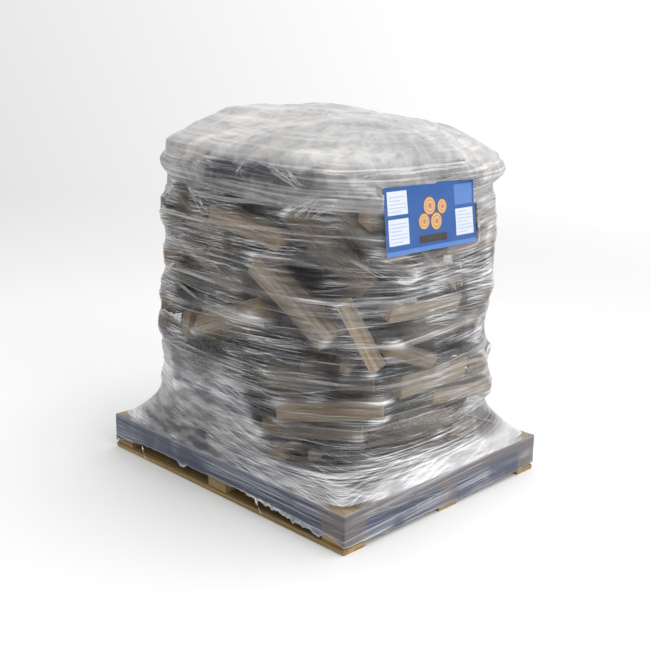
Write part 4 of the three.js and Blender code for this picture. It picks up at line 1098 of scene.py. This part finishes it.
def facets(places, size, seed):
    """Random heights from 0 to 1 at the corners of a net of triangles of this size, and flat between them.
    Gives each place's distance from the nearest crease and the slope of its triangle as well."""
    corner_heights = np.random.default_rng(seed).uniform(0, 1, (64, 64))
    skewed = places / size + 0.366 * places.sum(axis=1)[:, None] / size
    cell = np.floor(skewed).astype(int)
    i, j = cell.T % 64
    part = skewed - cell
    large, small = part.max(axis=1), part.min(axis=1)
    lower = part[:, 0] > part[:, 1]
    near, far = corner_heights[i, j], corner_heights[(i + 1) % 64, (j + 1) % 64]
    third = np.where(lower, corner_heights[(i + 1) % 64, j], corner_heights[i, (j + 1) % 64])
    height = near * (1 - large) + third * (large - small) + far * small
    slope = np.where(lower, 1, -1) * (2 * third - near - far)
    return height, np.min([1 - large, large - small, small], axis=0) * size, slope


# Rings of the side from the hem up, drawn in at two places, and then rings over the top to its middle
neck_radius = radius[-1] - UNDER_FILM
drawn_in = 30 * np.exp(-((turned + 2.35) / 0.6) ** 2) + 8 * np.exp(-((turned - 0.8) / 0.5) ** 2)
shoulder_radius = load_radius + (6 - drawn_in) * MM
side_heights = np.concatenate([np.linspace(HEM_Z, NECK_TOP, 7), np.linspace(NECK_TOP, SHOULDER_Z, 26)[1:]])
log_reach = beside(wood_reach(side_heights), np.max) + 2 * MM
cover_rings = []
for z, reached in zip(side_heights, log_reach):
    if z <= NECK_TOP:
        out = np.array([np.interp(z, heights, radius[:, i]) for i in range(columns)]) - UNDER_FILM
    else:
        rise = (z - NECK_TOP) / (SHOULDER_Z - NECK_TOP)
        bulge = math.sin(min(rise / 0.6, 1) * math.pi / 2)
        over = max(rise - 0.6, 0) / 0.4
        out = neck_radius + (shoulder_radius - neck_radius) * bulge - 20 * MM * over**2
        out = np.maximum(out, reached)
    cover_rings.append(np.column_stack([heading * out[:, None], np.full(columns, z)]))
for share in 1 - np.linspace(0, 1, 72)[1:-1] ** 1.2:
    place = heading * (out * share)[:, None]
    cover_rings.append(np.column_stack([place, cover_height(place)]))
cover_rings = np.array(cover_rings)
flat = cover_rings.reshape(-1, 3)
drop = np.maximum(SHOULDER_Z - flat[:, 2], 0) * (np.arange(len(flat)) < len(side_heights) * columns)
spread = flat[:, :2] * (1 + drop / np.maximum(np.linalg.norm(flat[:, :2], axis=1), 0.01))[:, None]
pulled_askew = np.column_stack([wobble(flat, 0.3, 54, 2), wobble(flat, 0.3, 56, 2)])
# It crumples in flat facets, broad ones up to 38 mm high and small ones up to 9 mm high
broad_facets, from_broad, broad_slope = facets(spread + 0.008 * pulled_askew, BROAD_FACET, 51)
small_facets, from_small, small_slope = facets(spread + 0.01 * pulled_askew, SMALL_FACET, 52)
creased = np.clip(1 - np.minimum(from_broad, from_small * 1.6) / (5 * MM), 0, 1)
creased *= np.clip(0.3 * wobble(flat, 0.09, 62, 2), 0, 0.4)
crumple = np.maximum(38 * broad_facets + 9 * small_facets - 19, 0)
lift = (crumple + 0.6 * wobble(flat, 0.03, 53, 2)) * np.clip((flat[:, 2] - NECK_TOP) / (26 * MM), 0, 1)
cover_points = flat + ring_normals(cover_rings).reshape(-1, 3) * (lift * MM)[:, None]
# Behind the label it is pushed in
from_label = cover_points - label_middle
level_with_label = abs(from_label @ across) < LABEL_WIDTH / 2 - 2 * MM
level_with_label &= from_label @ upward < LABEL_HEIGHT / 2 - 2 * MM
depth = from_label @ outward + 3 * MM
pushed_in = level_with_label & (depth > 0) & (depth < 0.09)
cover_points[pushed_in] -= outward * depth[pushed_in][:, None]
summit = np.append([0.0, 0.0], cover_height(np.zeros((1, 2))) + 3 * MM)
last_ring = (len(cover_rings) - 1) * columns
cover_faces = net_faces(0, len(cover_rings), columns)
cover_faces += [(last_ring + i, last_ring + (i + 1) % columns, len(cover_points)) for i in range(columns)]

# Milky polyethylene sheet under a few turns of film: light warm grey on top and thin enough down the sides
# for the dark gaps to show through, with painted shade that darkens it down the sides, on the right and
# under the front of the shoulder, and painted shading on its facets. Creases are fine white lines, and so
# is the pull of the film over it.
milky_sheet = new_material("milky_polyethylene_sheet")
at = add_node(milky_sheet, "TexCoord").outputs["Object"]
look = add_node(milky_sheet, "Attribute", attribute_name="sheet_look").outputs
white_and_painted_shade, density, pulled = add_node(milky_sheet, "SeparateColor", {"Color": look["Color"]}).outputs
cloud = add_node(milky_sheet, "TexNoise",
                 {"Vector": at, "Scale": 17.0, "Detail": 8.0, "Roughness": 0.72, "Distortion": 0.7})
hair = film_streaks(milky_sheet, at, (0.05, -0.04), 105, 1.7)
hair = add_node(milky_sheet, "MapRange", {"Value": hair, "From Min": 0.5, "From Max": 0.62})
streak = film_streaks(milky_sheet, at, (0.14, -0.1), 40, 2.0)
lines = add_node(milky_sheet, "Math", {0: pulled, 1: 0.45}, operation="GREATER_THAN")
lines = add_node(milky_sheet, "Math",
                 {0: thin_lines(milky_sheet, streak, 0.02), 1: lines}, operation="MULTIPLY")
lines = add_node(milky_sheet, "Math", {0: lines, 1: hair}, operation="MAXIMUM")
lines = add_node(milky_sheet, "Math", {0: lines, 1: pulled}, operation="MULTIPLY")
lines = add_node(milky_sheet, "Math", {0: look["Alpha"], 1: lines}, operation="MAXIMUM")
mottled = add_node(milky_sheet, "MapRange",
                   {"Value": cloud, "From Min": 0.36, "From Max": 0.64, "To Min": -0.09, "To Max": 0.09})
white = add_node(milky_sheet, "Math", {0: white_and_painted_shade, 1: mottled}, operation="ADD", use_clamp=True)
white = add_node(milky_sheet, "Math",
                 {0: lines, 1: 0.3, 2: white}, operation="MULTIPLY_ADD", use_clamp=True)
tint = add_node(milky_sheet, "MixRGB",
                {"Fac": white, "Color1": linear("#5c6068"), "Color2": linear("#d3d0cc")})
see = add_node(milky_sheet, "Math", {0: mottled, 1: density}, operation="ADD", use_clamp=True)
see = add_node(milky_sheet, "Math", {0: lines, 1: 0.35, 2: see}, operation="MULTIPLY_ADD", use_clamp=True)
bump = add_node(milky_sheet, "Bump", {"Strength": 0.6, "Distance": 0.004, "Height": cloud})
skin = add_node(milky_sheet, "BsdfPrincipled",
                {"Base Color": tint, "Roughness": 0.32, "IOR": 1.5, "Alpha": see, "Normal": bump})
add_node(milky_sheet, "OutputMaterial", {"Surface": skin})

cover_sheet = new_piece("milky_cover", np.vstack([cover_points, summit]), cover_faces, milky_sheet)
# On the front side just under the shoulder the sheet is painted darker, as shade under the overhang, and
# lets the dark gaps show through; it lets them through the thin hem as well
facing = np.arctan2(flat[:, 1], flat[:, 0]) + 0.1 * wobble(flat, 0.2, 57, 2)
height = flat[:, 2] / MM + 7 * wobble(flat, 0.11, 58, 3)
on_side = ramp(height, 1136, 1106)
in_front = ramp(facing, -1.8, -1.5) * ramp(facing, -0.72, -0.85)
shade_over_hollow = in_front * ramp(height, 1040, 1062) * ramp(height, 1126, 1110)
on_right = ramp(facing, -0.9, -0.4)
hem_height = 1036 - 34 * ramp(facing, -2.4, -0.9)
below_hem = ramp(height, hem_height + 2, hem_height - 2)
# Painted shading: facets tilted one way are painted lighter and the rest darker, and the sheet is painted
# in shade down the sides and on the right
painted_facet_shading = 0.085 * broad_slope + 0.06 * small_slope
white_and_painted_shade = 0.66 + painted_facet_shading - on_side * (0.22 - 0.02 * on_right) - 0.36 * shade_over_hollow
white_and_painted_shade -= 0.1 * on_right * (1 - on_side)
density = (0.92 - 0.2 * on_side - 0.2 * shade_over_hollow) * (1 - 0.85 * below_hem)
sheet_look = np.column_stack([white_and_painted_shade, density, 0.35 + 0.55 * on_side, creased])
write_values(cover_sheet, "sheet_look", np.vstack([sheet_look, [0.66, 0.9, 0.25, 0.0]]), "POINT")
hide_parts("top_sheet")
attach(cover_sheet, "root")


# Threads. Where the film caught on a splinter it tore into white threads, which the next turns pressed flat
# on the load. They fan out from the splinter, most of them round the neck and over the cover's shoulder.

THREAD_FANS = [
    # bearing and height of the splinter, way and half spread, greatest length, number; degrees and mm
    (-62, 1112, -14, 15, 120, 7), (-57, 1106, -42, 20, 80, 9), (-77, 1108, -120, 25, 45, 5),
    (-111, 1020, -24, 14, 150, 9), (-44, 1022, -139, 22, 75, 5), (-48, 1030, -134, 24, 105, 7),
    (-41, 1112, -170, 15, 45, 3), (-38, 860, -34, 7, 140, 4), (-118, 700, -10, 5, 220, 4),
    (-110, 310, -8, 4, 280, 4), (60, 900, -20, 10, 160, 5), (110, 1020, -30, 14, 130, 8),
    (170, 1040, -150, 14, 130, 8),
]
THREAD_STEPS = 12
wrapped_load = surface_of(film, cover_sheet)
draw = np.random.default_rng(59)
thread_points, thread_faces = [], []
for middle, level, slope, spread_out, longest, count in THREAD_FANS:
    for _ in range(count):
        turn = math.radians(middle + draw.normal() * 0.8)
        z = (level + draw.normal() * 5) * MM
        way = math.radians(slope + draw.uniform(-1, 1) * spread_out)
        bend = draw.normal() * 0.004
        pace = longest * draw.uniform(0.4, 1) / THREAD_STEPS * MM
        broad = draw.uniform(0.4, 0.9) * MM
        row = []
        for _ in range(THREAD_STEPS):
            ray = Vector((math.cos(turn), math.sin(turn), 0))
            hit, facing_out = wrapped_load.ray_cast(ray * OUTSIDE + Vector((0, 0, z)), -ray, OUTSIDE)[:2]
            if hit is None or z > 1.15:
                break
            if facing_out.dot(ray) < 0:
                facing_out = -facing_out
            row.append((np.array(hit), np.array(facing_out)))
            turn += pace * math.cos(way) / 0.52
            z += pace * math.sin(way)
            way += bend
        if len(row) < 4:
            continue
        line = np.array([place for place, _ in row])
        outwards = np.array([facing_out for _, facing_out in row])
        side_way = np.cross(outwards, np.gradient(line, axis=0))
        side_way /= np.linalg.norm(side_way, axis=1)[:, None]
        taper = broad * np.sqrt(np.sin(np.linspace(0.15, math.pi - 0.1, len(row))))[:, None]
        line += outwards * 2.2 * MM
        start = len(thread_points)
        thread_points += np.vstack([line - side_way * taper, line + side_way * taper]).tolist()
        thread_faces += net_faces(start, 2, len(row), closed=False)

# Torn film: polyethylene drawn out thin until it is white, with a soft shine.
torn_film = new_material("torn_white_film")
frayed = add_node(torn_film, "TexNoise", {"Scale": 90.0, "Detail": 2.0})
cover = add_node(torn_film, "MapRange",
                 {"Value": frayed, "From Min": 0.3, "From Max": 0.7, "To Min": 0.45, "To Max": 0.9})
skin = add_node(torn_film, "BsdfPrincipled",
                {"Base Color": linear("#f1f0ef"), "Roughness": 0.4, "IOR": 1.5, "Alpha": cover})
add_node(torn_film, "OutputMaterial", {"Surface": skin})
threads = new_piece("torn_film_threads", thread_points, thread_faces, torn_film)
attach(threads, "root")


# The studio: a plain pale floor that runs out of sight, light from a bright sky, and two large soft lamps,
# one high on the right and one overhead. The camera stands where the photograph was taken from.

floor_paint = new_material("pale_floor_paint")
floor_at = add_node(floor_paint, "TexCoord").outputs["Object"]
away = add_node(floor_paint, "VectorMath", {0: floor_at}, operation="LENGTH").outputs["Value"]
fading = add_node(floor_paint, "MapRange",
                  {"Value": away, "From Min": 3.0, "From Max": 9.0, "To Min": 1.0, "To Max": 0.0})
mottle = add_node(floor_paint, "TexNoise", {"Scale": 3.0, "Detail": 3.0})
tone = add_node(floor_paint, "MixRGB",
                {"Fac": mottle, "Color1": linear("#f2f2f1"), "Color2": linear("#ececeb")})
skin = add_node(floor_paint, "BsdfPrincipled", {"Base Color": tone, "Roughness": 0.9, "Alpha": fading})
add_node(floor_paint, "OutputMaterial", {"Surface": skin})
FLOOR_HALF = 60.0
corners = [(x * FLOOR_HALF, y * FLOOR_HALF, -0.2 * MM) for x, y in ((-1, -1), (1, -1), (1, 1), (-1, 1))]
floor = new_piece("floor", corners, [(0, 1, 2, 3)], floor_paint)

# The sky is brighter to the right, behind and above
SKY_SLOPE, SKY_LEVEL = (0.24, 0.42, 0.2), 0.86
world = bpy.data.worlds.new("bright_sky")
bpy.context.scene.world = world
world.use_nodes = True
world.node_tree.nodes.clear()
way = add_node(world, "TexCoord").outputs["Generated"]
toward = add_node(world, "VectorMath", {0: way, 1: SKY_SLOPE}, operation="DOT_PRODUCT").outputs["Value"]
level = add_node(world, "Math", {0: toward, 1: SKY_LEVEL}, operation="ADD")
sky = add_node(world, "Background", {"Color": linear("#fbfbfc"), "Strength": level})
add_node(world, "OutputWorld", {"Surface": sky})
bpy.context.scene.view_settings.view_transform = "Standard"

for name, place, size, power in (
    ("soft_lamp_right", (4.6, -0.6, 3.4), 2.6, 75),
    ("soft_lamp_top", (0.5, 0.3, 4.2), 2.4, 45),
):
    lamp = bpy.data.lights.new(name, "AREA")
    lamp.size = size
    lamp.energy = power
    holder = bpy.data.objects.new(name, lamp)
    holder.location = place
    holder.rotation_euler = (Vector((0, 0, 0.6)) - Vector(place)).to_track_quat("-Z", "Y").to_euler()
    bpy.context.scene.collection.objects.link(holder)

CAMERA_PLACE = Vector((2.35680, -2.37157, 1.35370))
AZIMUTH, ELEVATION, ROLL = (math.radians(angle) for angle in (44.713, 14.166, 1.194))
back = Vector((math.sin(AZIMUTH) * math.cos(ELEVATION), -math.cos(AZIMUTH) * math.cos(ELEVATION),
               math.sin(ELEVATION)))
level_x = Vector((0, 0, 1)).cross(back).normalized()
level_y = back.cross(level_x)
right = level_x * math.cos(ROLL) + level_y * math.sin(ROLL)
above = level_y * math.cos(ROLL) - level_x * math.sin(ROLL)
camera = bpy.data.objects.new("camera", bpy.data.cameras.new("camera"))
camera.data.sensor_width = 36.0
camera.data.lens = 52.73
camera.matrix_world = Matrix.Translation(CAMERA_PLACE) @ Matrix((right, above, back)).transposed().to_4x4()
bpy.context.scene.collection.objects.link(camera)
bpy.context.scene.camera = camera

bpy.context.view_layer.update()
